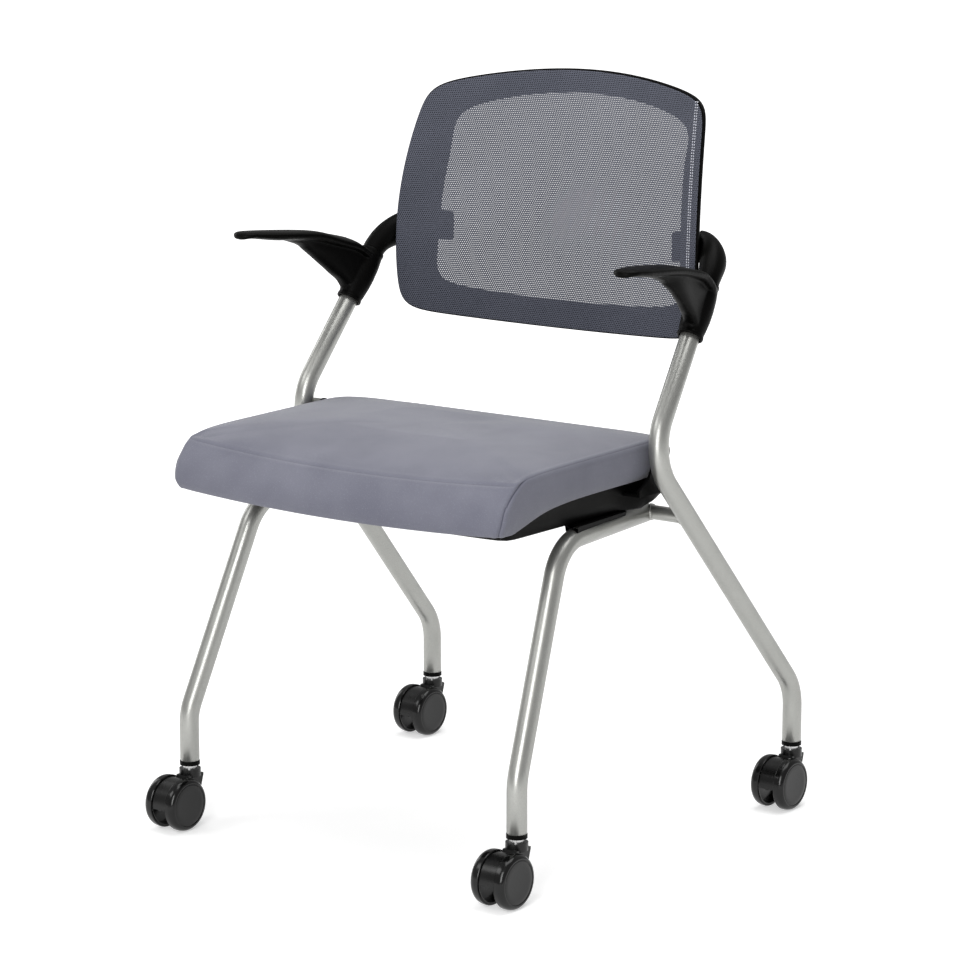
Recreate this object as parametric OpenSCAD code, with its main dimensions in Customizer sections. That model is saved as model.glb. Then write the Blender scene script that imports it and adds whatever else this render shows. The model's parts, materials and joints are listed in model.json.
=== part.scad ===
// Nesting chair: four bent-tube legs on twin-wheel casters, a flip-up seat and a mesh back.
// Millimetres. The seat faces -Y, +X is the sitter's left, +Z is up, and the floor is Z = 0.
// Most places along the chair are given as a distance behind the front caster stems.

/* [Tube frame] */
// Outer diameter of the side tubes and the front legs
tube_d = 22; // [20:0.5:24]
// Wall of those tubes
tube_wall = 1.5; // [1.2:0.1:2]
// Radius of their bends, on the centre line
bend_r = 58; // [50:1:62]
// Distance from the front stems back to the rear stems
wheelbase = 485; // [470:1:500]
// Each front stem, outside the cushion's side
front_splay = 3.5; // [0:0.5:8]
// Each rear stem, outside the cushion's side
rear_splay = 36.5; // [30:0.5:45]
// Height of the bend over each front caster
front_heel_z = 130; // [115:1:150]
// Height of the bend over each rear caster
rear_heel_z = 138; // [125:1:160]
// Height of the waist, where the side tube turns forward leg into back leg
waist_z = 447; // [440:1:452]
// Waist, behind the front stems
waist_back = 211; // [205:1:216]
// Rise from the waist to the shoulder, where the side tube enters the arm
shoulder_rise = 118; // [112:1:124]
// Shoulder, behind the waist
shoulder_behind = 87.5; // [84:0.5:92]
// Each shoulder, inside its waist
shoulder_lean = 10.5; // [8:0.5:12]
// Knee, where a front leg turns back under the seat, behind the front stems
knee_back = 101; // [94:1:104]
// Each knee, inside the cushion's side
knee_inset = 16; // [13:0.5:18]
// End of each leg at the cross bar, inside its knee
rail_taper = 13; // [8:0.5:16]
// Rise of a leg from its knee back to the cross bar
rail_rise = 3.5; // [2:0.5:5]
// Diameter of the cross bar
bar_d = 16; // [14:0.5:18]
// Cross bar, behind the waist
bar_behind = 68; // [66:1:72]

/* [Casters] */
// Diameter of a caster wheel
wheel_d = 60; // [56:1:62]
// Thickness of one wheel
wheel_w = 12; // [10:0.5:13]
// Space between the two wheels of a caster
wheel_gap = 20; // [19:0.5:22]
// Line of the stem, inside the wheels' edge
stem_inset = 5; // [4:0.5:7]
// Room from the wheels' top to the tube's lower end
caster_neck = 14; // [13:0.5:18]
// Diameter of the wheel axle
axle_d = 6; // [5:0.5:8]
// Diameter of the caster stem
stem_d = 8; // [7:0.5:10]

/* [Seat] */
// Width of the cushion at its seam
seat_w = 456; // [440:1:458]
// Length of the cushion, from the front corners of its seam to its rear edge
seat_len = 304; // [292:1:312]
// Rear edge of the seam, behind the pivot
seat_overhang = 67; // [60:1:68]
// Rise from the seat pan's underside to the board's upper face
board_rise = 31.5; // [30:0.5:33]
// Thickness of the seat board
board_t = 12; // [10:1:13]
// Rise from the board to the seam at the front corners
seam_front_rise = 28.5; // [25:0.5:33]
// Rise from the board to the seam beside the pivot
seam_side_rise = 41.5; // [37:0.5:44]
// Height of the crown over the seam
crown_h = 11; // [8:1:16]
// Rise from the waist to the seat pivot
pivot_rise = 1; // [0:0.5:3]

/* [Back] */
// Height of the back
back_h = 295; // [270:1:315]
// Each side of the back at its widest, inside the shoulder
back_inset = 27.9; // [25:0.1:32]
// Lowest point of the back, below the shoulders
back_drop = 22; // [16:1:30]
// Front of the back at its edges where it is furthest forward, behind the shoulders
back_behind = 51.5; // [49.5:0.5:57]
// Rise from the lowest point to that foremost place, at the small of the sitter's back
lumbar_rise = 79; // [67:1:97]
// Radius of the back's curve from top to bottom
back_curve_r = 430; // [380:5:600]
// How far the middle lies behind the two side edges
back_hollow = 26; // [10:1:32]
// Width of the back frame's border
border_w = 38; // [30:1:44]

/* [Arms] */
// Length of the arm pad, front to back
pad_len = 166; // [158:1:174]
// Width of the arm pad
pad_w = 40; // [38:1:44]
// Thickness of the arm pad
pad_t = 8; // [7:0.5:10]
// Rise from the shoulder to the arm pad's upper face
pad_rise = 88; // [83:1:93]
// Front of the arm pad, ahead of the shoulder
pad_ahead = 164.5; // [158:0.5:170]
// Middle of each pad at its front, outside the cushion's side
pad_splay = 38; // [36:0.5:41]
// Length of the clamp sleeve
sleeve_len = 68; // [62:1:74]
// Wall of the clamp sleeve at its middle
sleeve_wall = 5.5; // [4:0.5:6.5]

/* [Hidden] */
$fn = 72;

// Fits, overruns and small common sizes
over = 1;
running_gap = 0.05;
seat_gap = 0.3;
plug_gap = 0.1;
// The bends are this much fuller than the straights, whose ends reach into them
bend_swell = 0.2;
bend_lap = 4;
bend_d = tube_d + 2 * bend_swell;
collar_over = 0.4;
collar_d = tube_d + 2 * collar_over;
bore_d = tube_d - 2 * tube_wall;
wheel_r = wheel_d / 2;
caster_trail = wheel_r - stem_inset;
caster_h = wheel_d + caster_neck;

// Seat pivot: a boss on each waist, a bush in it, and a pin that the seat's bracket carries
boss_d = 14;
boss_sink = 0.65;
boss_stand = 2.5;
boss_len = 11;
bush_d = 10.5;
bush_flange_d = 13;
bush_flange_t = 1.5;
pin_d = 8;
pin_head_d = 11;
pin_head_t = 1.5;
bracket_t = 3;

// From the middle out: the cushion, the hinge's layers and the waist's tube
seat_half = seat_w / 2;
side_bulge = 3;
pin_room = 1.2;
bracket_x = seat_half + side_bulge + pin_room + pin_head_t;
boss_x = bracket_x + bracket_t + seat_gap + bush_flange_t;
waist_x = boss_x + boss_stand + tube_d / 2;
shoulder_x = waist_x - shoulder_lean;
front_x = seat_half + front_splay;
rear_x = seat_half + rear_splay;
knee_x = seat_half - knee_inset;
rail_end_x = knee_x - rail_taper;

// The frame is centred front to back between the foremost wheel and the rearmost collar
front_y = -wheelbase / 2 + (caster_trail + wheel_r - collar_d / 2) / 2;
rear_y = front_y + wheelbase;
waist_y = front_y + waist_back;
shoulder_y = waist_y + shoulder_behind;
knee_y = front_y + knee_back;
bar_y = waist_y + bar_behind;
shoulder_z = waist_z + shoulder_rise;

// Frame tubes, as the sitter's left one; the right one is its mirror image
rear_foot = [rear_x, rear_y, caster_h];
rear_heel = [rear_x, rear_y, rear_heel_z];
waist = [waist_x, waist_y, waist_z];
shoulder = [shoulder_x, shoulder_y, shoulder_z];
arm_axis = unit(shoulder - waist);
// The tube ends short of the sleeve's top
tube_top = shoulder + arm_axis * (sleeve_len - tube_d / 2);
// The cross bar runs between the centre lines of the two rear legs
bar_share = bar_behind / (wheelbase - waist_back);
bar_end = between(waist, rear_heel, bar_share);
bar_z = bar_end[2];
rail_below_bar = 0.8;
rail_end = [rail_end_x, bar_y, bar_z - rail_below_bar];
front_foot = [front_x, front_y, caster_h];
front_heel = [front_x, front_y, front_heel_z];
knee = [knee_x, knee_y, rail_end[2] - rail_rise];

// The pivot lies behind the inside of the waist's bend, and the seat on the legs' rails
waist_apex = bend_r * (1 / cos(turn_at(rear_heel, waist, shoulder) / 2) - 1);
pivot_y = waist_y + waist_apex + (tube_d + boss_d) / 2 - boss_sink;
pivot_z = waist_z + pivot_rise;
rest_t = 2.7;
pan_z = rail_end[2] + tube_d / 2 + rest_t + seat_gap;
board_top_z = pan_z + board_rise;
seam_front_z = board_top_z + seam_front_rise;
seam_side_z = board_top_z + seam_side_rise;

black = [0.06, 0.06, 0.065];
silver = [0.72, 0.73, 0.71];
steel = [0.6, 0.6, 0.62];
fabric_blue = [0.45, 0.46, 0.53];
mesh_blue = [0.36, 0.38, 0.45];
ply = [0.72, 0.58, 0.4];

// Vectors and placing
function unit(v) = v / norm(v);
function between(a, b, share) = a + (b - a) * share;
function columns(x, y, z, at) = [
    [x[0], y[0], z[0], at[0]], [x[1], y[1], z[1], at[1]], [x[2], y[2], z[2], at[2]], [0, 0, 0, 1]];
function side_of(dir) = unit(cross(dir, [1, 0, 0]));
module along(at, dir) {
    multmatrix(columns(side_of(dir), cross(dir, side_of(dir)), dir, at)) children();
}
// A cylinder across the chair, along X
module crosswise(x, y, z, d, length) {
    translate([x, y, z]) rotate([0, 90, 0]) cylinder(d = d, h = length);
}
// An outline drawn in Y and Z, extruded across the chair from x
module slab(x, thickness) {
    translate([x, 0, 0]) rotate([90, 0, 90]) linear_extrude(thickness) children();
}
module both_sides() {
    children();
    mirror([1, 0, 0]) children();
}

// Tubes that follow a line of points with a bend at each inner point
module wall(outer, inner) {
    difference() {
        circle(d = outer);
        circle(d = inner);
    }
}
function turn_at(a, b, c) = acos(unit(b - a) * unit(c - b));
module bent(a, b, c) {
    into = unit(b - a);
    out = unit(c - b);
    turn = acos(into * out);
    side = unit(out - into * (into * out));
    start = b - into * bend_r * tan(turn / 2);
    multmatrix(columns(-side, into, cross(-side, into), start + side * bend_r))
        rotate_extrude(angle = turn) translate([bend_r, 0]) children();
}
module pipe(points, outer, inner) {
    last = len(points) - 1;
    cut = [for (i = [0:last]) (i == 0 || i == last) ? 0
        : bend_r * tan(turn_at(points[i - 1], points[i], points[i + 1]) / 2) - bend_lap];
    for (i = [1:last]) {
        dir = unit(points[i] - points[i - 1]);
        from = points[i - 1] + dir * cut[i - 1];
        to = points[i] - dir * cut[i];
        along(from, dir) linear_extrude(norm(to - from)) wall(outer, inner);
    }
    for (i = [1:last - 1]) bent(points[i - 1], points[i], points[i + 1])
        wall(outer + 2 * bend_swell, inner - 2 * bend_swell);
}

// Outlines with full corners. Each quarter runs from the middle of a side to the middle of the next.
corner_shares = [0, 0.2, 0.38, 0.55, 0.7, 0.82, 0.91, 0.97, 1];
function quarter(n) = let(q = pow(2, -1 / n), m = len(corner_shares) - 1)
    [for (i = [0:2 * m - 1])
        let(f = q * corner_shares[i <= m ? i : 2 * m - i], g = pow(1 - pow(f, n), 1 / n))
        i <= m ? [g, f] : [f, g]];
function full_outline(low_n, high_n) = concat(
    quarter(high_n),
    [for (p = quarter(high_n)) [-p[1], p[0]]],
    [for (p = quarter(low_n)) [-p[0], -p[1]]],
    [for (p = quarter(low_n)) [p[1], -p[0]]]);
function arc(at, r, from, to, count = 8) =
    [for (i = [0:count]) let(a = from + (to - from) * i / count) at + r * [cos(a), sin(a)]];

// A closed skin over rings of points, from one apex to another
module skin(start, rings, finish) {
    n = len(rings[0]);
    count = len(rings);
    points = concat([start], [for (r = rings) for (p = r) p], [finish]);
    faces = concat(
        [for (j = [0:n - 1]) [0, 1 + j, 1 + (j + 1) % n]],
        [for (i = [0:count - 2]) for (j = [0:n - 1]) let(k = (j + 1) % n, a = 1 + i * n, b = a + n)
            [b + j, b + k, a + k]],
        [for (i = [0:count - 2]) for (j = [0:n - 1]) let(k = (j + 1) % n, a = 1 + i * n, b = a + n)
            [b + j, a + k, a + j]],
        [for (j = [0:n - 1]) let(a = 1 + (count - 1) * n) [count * n + 1, a + (j + 1) % n, a + j]]);
    polyhedron(points, faces);
}

// A closed skin over sections that run round a loop
module loop_skin(sections) {
    n = len(sections[0]);
    count = len(sections);
    points = [for (r = sections) for (p = r) p];
    faces = concat(
        [for (i = [0:count - 1]) for (j = [0:n - 1])
            let(k = (j + 1) % n, a = i * n, b = ((i + 1) % count) * n) [b + j, b + k, a + k]],
        [for (i = [0:count - 1]) for (j = [0:n - 1])
            let(k = (j + 1) % n, a = i * n, b = ((i + 1) % count) * n) [b + j, a + k, a + j]]);
    polyhedron(points, faces);
}

// Frame: the tubes, the cross bar and the pivot's fixed half
screw_d = 5;
screw_hole_d = 5.2;
screw_head_d = 9;
screw_head_t = 2.8;

module side_tube() {
    color(silver) difference() {
        pipe([rear_foot, rear_heel, waist, tube_top], tube_d, bore_d);
        arm_screw_hole();
    }
}
module side_tube_left() side_tube();
module side_tube_right() mirror([1, 0, 0]) side_tube();

// The leg's end is cut to the round of the cross bar and welded to it
module front_leg() {
    color(silver) difference() {
        pipe([front_foot, front_heel, knee, rail_end], tube_d, bore_d);
        crosswise(0, bar_y, bar_z, bar_d, 2 * knee_x);
    }
}
module front_leg_left() front_leg();
module front_leg_right() mirror([1, 0, 0]) front_leg();

// Cut at each end to the round of the side tube that it is welded to
module cross_bar() {
    reach = bar_end[0];
    leg_dir = unit(waist - rear_heel);
    color(silver) difference() {
        translate([-reach, bar_y, bar_z]) rotate([0, 90, 0]) linear_extrude(2 * reach)
            wall(bar_d, bar_d - 2 * tube_wall);
        both_sides() along(bar_end - leg_dir * bar_d * 2, leg_dir) cylinder(d = tube_d, h = bar_d * 4);
    }
}

// The boss is cut to the waist's bend, which it is welded to
module pivot_boss() {
    color(silver) difference() {
        crosswise(boss_x, pivot_y, pivot_z, boss_d, boss_len);
        crosswise(boss_x - over, pivot_y, pivot_z, bush_d + plug_gap, boss_len + 2 * over);
        bent(rear_heel, waist, shoulder) circle(d = bend_d + plug_gap);
    }
}
module pivot_boss_left() pivot_boss();
module pivot_boss_right() mirror([1, 0, 0]) pivot_boss();

module hinge_bushes() {
    color(black) both_sides() difference() {
        union() {
            crosswise(boss_x, pivot_y, pivot_z, bush_d, boss_len);
            crosswise(boss_x - bush_flange_t, pivot_y, pivot_z, bush_flange_d, bush_flange_t);
        }
        crosswise(boss_x - over - bush_flange_t, pivot_y, pivot_z, pin_d + 2 * running_gap,
            boss_len + bush_flange_t + 2 * over);
    }
}
module hinge_pins() {
    color(steel) both_sides() {
        crosswise(bracket_x, pivot_y, pivot_z, pin_d, boss_x + boss_len - bracket_x);
        crosswise(bracket_x - pin_head_t, pivot_y, pivot_z, pin_head_d, pin_head_t);
    }
}

// Arm: a thin pad on a web that grows out of a clamp sleeve round the top of the side tube
sleeve_d = tube_d + 2 * sleeve_wall;
sleeve_top = shoulder + arm_axis * sleeve_len;
sleeve_shares = [[0, 0.8], [0.02, 0.88], [0.06, 0.88], [0.08, 0.84], [0.2, 0.93], [0.38, 1],
    [0.6, 0.99], [0.8, 0.91], [0.9, 0.83], [0.92, 0.86], [0.98, 0.86], [1, 0.8]];
pad_x = seat_half + pad_splay;
pad_y = shoulder_y - pad_ahead;
pad_z = shoulder_z + pad_rise;
pad_r = 17;
pad_tip_share = 0.45;
pad_rear_y = pad_y + pad_len;
pad_rear_fall = 17;
pad_straight_share = 0.56;
pad_narrow = 3;
pad_step = 1;
pad_tip_from = 185;
pad_tip_to = 355;
pad_tip_count = 12;
pad_belly_share = 0.32;
pad_room = 6;
pad_inner_x = seat_half + pad_room;
web_start_share = 0.34;
web_drop_share = 0.6;
web_drop = 17.5;
web_foot_share = 0.25;
web_head_share = 0.9;
web_w = 20;
arm_screw_share = 0.5;

module arm_screw_hole() {
    along(shoulder + arm_axis * sleeve_len * arm_screw_share, side_of(arm_axis))
        cylinder(d = screw_hole_d, h = sleeve_d);
}
// Seen from the side: the pad's upper line from its tip to the sleeve
function pad_line(drop) = [
    [pad_y, pad_z - pad_t * pad_tip_share - drop * pad_tip_share],
    [pad_y + pad_t * pad_tip_share, pad_z - drop],
    [pad_y + pad_len * pad_straight_share, pad_z - drop],
    [pad_y + pad_len * (1 + pad_straight_share) / 2, pad_z - pad_rear_fall / 4 - drop],
    [pad_rear_y, pad_z - pad_rear_fall - drop],
    [sleeve_top[1], sleeve_top[2] - drop]];
function backward(list) = [for (i = [len(list) - 1:-1:0]) list[i]];
module pad_plan() {
    // The pad is a leaf that points outward: its tip is narrow and its middle is wide
    belly_y = pad_y + pad_len * pad_belly_share;
    straight_y = pad_y + pad_len * pad_straight_share;
    polygon(concat(
        arc([pad_x, pad_y + pad_r], pad_r, pad_tip_from, pad_tip_to, pad_tip_count),
        [[pad_inner_x + pad_w + pad_narrow, belly_y],
        [pad_inner_x + pad_w - pad_narrow, straight_y],
        [sleeve_top[0] + sleeve_d / 2, pad_rear_y],
        [sleeve_top[0] + sleeve_d / 3, sleeve_top[1]],
        [sleeve_top[0] - sleeve_d / 3, sleeve_top[1]],
        [sleeve_top[0] - sleeve_d / 2 + pad_step, pad_rear_y],
        [pad_inner_x - pad_step, straight_y],
        [pad_inner_x + pad_narrow / 3, belly_y]]));
}
module web_plan() {
    start_y = pad_y + pad_len * web_start_share;
    web_x = pad_inner_x + pad_w / 2;
    polygon([[web_x - web_w / 2, start_y], [web_x + web_w / 2, start_y],
        [web_x + web_w / 2, pad_y + pad_len * web_drop_share],
        [sleeve_top[0] + web_w / 2, sleeve_top[1]], [sleeve_top[0] - web_w / 2, sleeve_top[1]],
        [web_x - web_w / 2, pad_y + pad_len * web_drop_share]]);
}
module arm() {
    base = shoulder;
    color(black) difference() {
        union() {
            along(base, arm_axis) rotate_extrude() polygon(concat(
                [[0, 0]], [for (s = sleeve_shares) [s[1] * sleeve_d / 2, s[0] * sleeve_len]],
                [[0, sleeve_len]]));
            intersection() {
                slab(0, pad_x + pad_w) polygon(concat(pad_line(0), backward(pad_line(pad_t))));
                translate([0, 0, shoulder_z]) linear_extrude(pad_z) pad_plan();
            }
            intersection() {
                slab(0, pad_x + pad_w) polygon([
                    [pad_y + pad_len * web_start_share, pad_z - pad_t],
                    [pad_y + pad_len * web_drop_share, pad_z - web_drop],
                    sleeve_mid_yz(web_foot_share),
                    sleeve_mid_yz(web_head_share),
                    [pad_rear_y, pad_z - pad_rear_fall - pad_t / 2],
                    [pad_y + pad_len * pad_straight_share, pad_z - pad_t / 2]]);
                translate([0, 0, shoulder_z]) linear_extrude(pad_z) web_plan();
            }
        }
        along(base - arm_axis * over, arm_axis) cylinder(d = tube_d + plug_gap, h = sleeve_len + 2 * over);
        arm_screw_hole();
    }
}
function sleeve_mid_yz(share) = let(p = shoulder + arm_axis * sleeve_len * share) [p[1], p[2]];
module arm_left() arm();
module arm_right() mirror([1, 0, 0]) arm();

// Screws that hold a sleeve, its tube and the support's spigot together
module screw(at, dir, length) {
    along(at - dir * screw_head_t, dir) {
        cylinder(d = screw_d, h = screw_head_t + length);
        cylinder(d = screw_head_d, h = screw_head_t);
    }
}
module arm_screws() {
    out = side_of(arm_axis);
    color(black) both_sides()
        screw(shoulder + arm_axis * sleeve_len * arm_screw_share + out * sleeve_d / 2, -out, sleeve_d / 2);
}

// Back: a dished border with a knitted mesh stretched over its front
back_half_w = shoulder_x - back_inset;
back_low_z = shoulder_z - back_drop;
back_top_z = back_low_z + back_h;
back_mid_z = (back_low_z + back_top_z) / 2;
back_front_y = shoulder_y + back_behind;
lumbar_z = back_low_z + lumbar_rise;
widest_rise = 87;
widest_z = back_low_z + widest_rise;
back_side_r = 900;
back_top_fall = 24;
back_low_rise = 8;
back_corner_n = 15;
mesh_t = 1.8;
mesh_inset = 1;
rim_depth = 7;
rim_w = 10;
border_depth = 29;
border_t = 4;
border_lap = 1;
function back_half(z) = back_half_w - pow(z - widest_z, 2) / (2 * back_side_r);
function back_y(x, z) = back_front_y + pow(z - lumbar_z, 2) / (2 * back_curve_r)
    + back_hollow * (1 - pow(x / back_half(z), 2));
// A point of the back at an outline place, drawn in by inset, behind the front by depth
function back_point(place, inset, depth, share = 1) = let(
    edge = place[1] > 0 ? back_top_z - back_top_fall * pow(place[0], 2) - back_mid_z
        : back_mid_z - back_low_z - back_low_rise * pow(place[0], 2),
    z = back_mid_z + place[1] * share * (edge - inset),
    x = place[0] * share * (back_half(z) - inset))
    [x, back_y(x, z) + depth, z];
back_places = full_outline(back_corner_n, back_corner_n);
lug_half_h = 16.5;
lug_rise = 107;
lug_z = back_low_z + lug_rise;
lug_reach = 17;
lug_x = back_half(lug_z) - border_w - lug_reach;
lug_w = 28;
lug_front_depth = 27;
lug_back_y = back_y(lug_x + lug_w / 2, lug_z) + border_depth + border_t / 4;
lug_t = 7;
back_screw_in = 9;
back_screw_x = lug_x + back_screw_in;
back_screw_rise = 9;

module back_frame() {
    section = [[0, mesh_t + plug_gap], [0, rim_depth], [rim_w, rim_depth + border_t],
        [border_w, border_depth], [border_w, border_depth - border_t],
        [rim_w + border_t / 2, rim_depth - border_lap], [border_t, mesh_t + border_lap]];
    color(black) difference() {
        union() {
            loop_skin([for (p = back_places) [for (s = section) back_point(p, s[0], s[1])]]);
            both_sides() translate([lug_x, lug_back_y - lug_t, lug_z - lug_half_h])
                cube([lug_w, lug_t, 2 * lug_half_h]);
        }
        back_screw_holes(lug_back_y - lug_t - over, lug_t + 2 * over);
    }
}
module back_screw_holes(y, depth) {
    both_sides() for (rise = [-back_screw_rise, back_screw_rise])
        translate([back_screw_x, y, lug_z + rise]) rotate([-90, 0, 0]) cylinder(d = screw_hole_d, h = depth);
}
module back_mesh() {
    shares = [0.25, 0.5, 0.75, 0.92, 1];
    color(mesh_blue) skin(
        back_point([0, 0], 0, mesh_t),
        concat(
            [for (r = shares) [for (p = back_places) back_point(p, mesh_inset, mesh_t, r)]],
            [for (r = backward(shares)) [for (p = back_places) back_point(p, mesh_inset, 0, r)]]),
        back_point([0, 0], 0, 0));
}
module back_screws() {
    color(black) both_sides() for (rise = [-back_screw_rise, back_screw_rise])
        screw([back_screw_x, plate_y + plate_t + plug_gap, lug_z + rise], [0, -1, 0], plate_t + lug_t);
}

// Back support: from a spigot in the tube it curves in behind the border to a screwed plate
plate_y = lug_back_y + plug_gap;
plate_t = 5;
plate_w = 33;
neck_over = 4;
neck_d = tube_d + neck_over;
spigot_len = 40;
arch_rise = 36;
end_half_h = 17.5;
end_half_t = 6.5;
support_sides = 20;
elbow_steps = 12;
elbow_start = sleeve_top + arm_axis * plug_gap;
elbow_end_rise = 2;
elbow_end = [lug_x + plate_w, plate_y + end_half_t, lug_z + elbow_end_rise];
elbow_pull = 28;
elbow_push = [30, -16, 4];
elbow_nudge_share = 0.01;
// A smooth line that leaves the sleeve along the tube and arrives crosswise behind the lug
function elbow_at(t) = let(
    a = elbow_start, b = elbow_start + arm_axis * elbow_pull,
    c = elbow_end + elbow_push, d = elbow_end)
    a * pow(1 - t, 3) + b * 3 * t * pow(1 - t, 2) + c * 3 * t * t * (1 - t) + d * pow(t, 3);
function elbow_dir(t) = unit(elbow_at(min(t + elbow_nudge_share, 1)) - elbow_at(max(t - elbow_nudge_share, 0)));
function elbow_ring(t) = let(
    dir = elbow_dir(t), high = unit([0, 0, 1] - dir * dir[2]), wide = cross(dir, high),
    h = neck_d / 2 + (end_half_h - neck_d / 2) * t * t, w = neck_d / 2 + (end_half_t - neck_d / 2) * t * t)
    [for (j = [0:support_sides - 1]) let(a = 360 * j / support_sides)
        elbow_at(t) + high * h * cos(a) + wide * w * sin(a)];
module back_support() {
    steps = [for (i = [0:elbow_steps]) i / elbow_steps];
    color(black) difference() {
        union() {
            skin(elbow_at(0), [for (t = steps) elbow_ring(t)], elbow_at(1));
            translate([lug_x, plate_y, lug_z - lug_half_h]) cube([plate_w + over, plate_t, 2 * lug_half_h]);
            along(tube_top - arm_axis * spigot_len, arm_axis)
                cylinder(d = bore_d - plug_gap, h = spigot_len + over);
            along(tube_top + arm_axis * plug_gap, arm_axis)
                cylinder(d = tube_d, h = norm(sleeve_top - tube_top) + over);
        }
        back_screw_holes(plate_y - over, plate_t + 2 * over);
        arm_screw_hole();
    }
}
module back_support_left() back_support();
module back_support_right() mirror([1, 0, 0]) back_support();

// Seat: a moulded pan, a board screwed in it, and a cushion that overhangs both at the front
seat_rear_y = pivot_y + seat_overhang;
seat_front_y = seat_rear_y - seat_len;
seat_mid_y = (seat_front_y + seat_rear_y) / 2;
seat_half_len = (seat_rear_y - seat_front_y) / 2;
front_corner_n = 48;
rear_corner_n = 7;
front_bow = 14;
front_dip = 8;
rear_drop = 9;
seam_line_share = 0.4;
seam_corner_power = 12;
front_lean = 24;
low_inset = 4;
low_rise = 1;
low_side_z = board_top_z + low_rise;
low_front_drop = 24;
low_middle_drop = 6;
low_start_in = 103;
low_end_out = 7;
low_start_y = seat_front_y + low_start_in;
low_end_y = seat_front_y - low_end_out;
under_inset = 14;
under_front_inset = 38;
crown_power = 7;
seat_places = full_outline(front_corner_n, rear_corner_n);
function front_share(place) = max(0, -place[1]);
function seam_z(y) = y < pivot_y
    ? let(u = min(1, (pivot_y - y) / (pivot_y - seat_front_y)))
        seam_side_z - (seam_side_z - seam_front_z)
        * (seam_line_share * u + (1 - seam_line_share) * pow(u, seam_corner_power))
    : seam_side_z - rear_drop * pow((y - pivot_y) / (seat_rear_y - pivot_y), 2);
// Plan place of a seat ring, drawn in at the sides, the front and the rear
function seat_xy(place, side, front, rear, share = 1) = [
    place[0] * share * (seat_half - side),
    seat_mid_y + place[1] * share * (seat_half_len - (place[1] < 0 ? front : rear))
        - front_bow * (1 - pow(place[0], 2)) * front_share(place) * share * share];
function eased(u) = u < 0 ? 0 : u > 1 ? 1 : u * u * (3 - 2 * u);
function low_z(place, y) = low_side_z - low_middle_drop * (1 - pow(place[0], 2)) * front_share(place)
    - low_front_drop * eased((low_start_y - y) / (low_start_y - low_end_y));
function lifted(xy, z) = [xy[0], xy[1], z];
function crown_point(place, share) = let(xy = seat_xy(place, 0, 0, 0, share))
    lifted(xy, seam_z(xy[1]) - front_dip * (1 - pow(place[0], 2)) * front_share(place) * share * share
        + crown_h * (1 - pow(share, crown_power)));
function low_point(place) = let(xy = seat_xy(place, low_inset, low_inset / 2 - front_lean, low_inset))
    lifted(xy, low_z(place, xy[1]));
function under_point(place) = lifted(seat_xy(place, under_inset, under_front_inset, under_inset),
    board_top_z + seat_gap);
// Heights from the lower edge to the seam, each with its shares of the side bulge and the front's lean
side_shares = [[0.22, 0.75, 1], [0.55, 1, 0.74], [0.85, 0.6, 0.3]];
function side_point(place, shares) = let(low = low_point(place), seam = crown_point(place, 1),
    bulge = side_bulge * shares[1],
    out = seat_xy(place, -bulge, -bulge - front_lean * shares[2], -bulge))
    lifted(out, between(low[2], seam[2], shares[0]));

module seat_cushion() {
    crown_shares = [0.96, 0.88, 0.72, 0.5, 0.25];
    color(fabric_blue) skin(
        [0, seat_mid_y, board_top_z + seat_gap],
        concat(
            [[for (p = seat_places) under_point(p)], [for (p = seat_places) low_point(p)]],
            [for (s = side_shares) [for (p = seat_places) side_point(p, s)]],
            [[for (p = seat_places) crown_point(p, 1)]],
            [for (s = crown_shares) [for (p = seat_places) crown_point(p, s)]]),
        [0, seat_mid_y, seam_z(seat_mid_y) + crown_h]);
}

board_inset = 22;
board_front_inset = 42;
board_rear_inset = 30;
board_z = board_top_z - board_t;
flange_z = board_z - bracket_t;
flange_ahead = 32;
flange_behind = 16;
flange_reach = 84;
flange_front_y = pivot_y - flange_ahead;
flange_rear_y = pivot_y + flange_behind;
bracket_end_r = 8;
bracket_neck_rise = 2;
bracket_foot_drop = 4;
bracket_neck_z = board_top_z + bracket_neck_rise;
bracket_foot_z = board_top_z - bracket_foot_drop;
bracket_neck_back = 12;
bracket_screw_inset = 63;
bracket_screw_x = seat_half - bracket_screw_inset;
front_screw_ahead = 22;
rear_screw_behind = 6;
bracket_screw_ys = [pivot_y - front_screw_ahead, pivot_y + rear_screw_behind];
board_hole_depth = 9;
screw_end_gap = 1;
pan_screw_front_inset = 78;
pan_screw_rear_inset = 118;
pan_screw_ahead = 168;
pan_screws_at = [[seat_half - pan_screw_front_inset, pivot_y - pan_screw_ahead],
    [seat_half - pan_screw_rear_inset, pivot_y + rear_screw_behind]];
module board_screws_at() {
    both_sides() {
        for (y = bracket_screw_ys) translate([bracket_screw_x, y, 0]) children();
        for (p = pan_screws_at) translate([p[0], p[1], 0]) children();
    }
}
module seat_board() {
    color(ply) difference() {
        translate([0, 0, board_z]) linear_extrude(board_t)
            polygon([for (p = seat_places) seat_xy(p, board_inset, board_front_inset, board_rear_inset)]);
        board_screws_at() translate([0, 0, board_z - over])
            cylinder(d = screw_d + plug_gap, h = board_hole_depth + over);
    }
}

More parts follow.
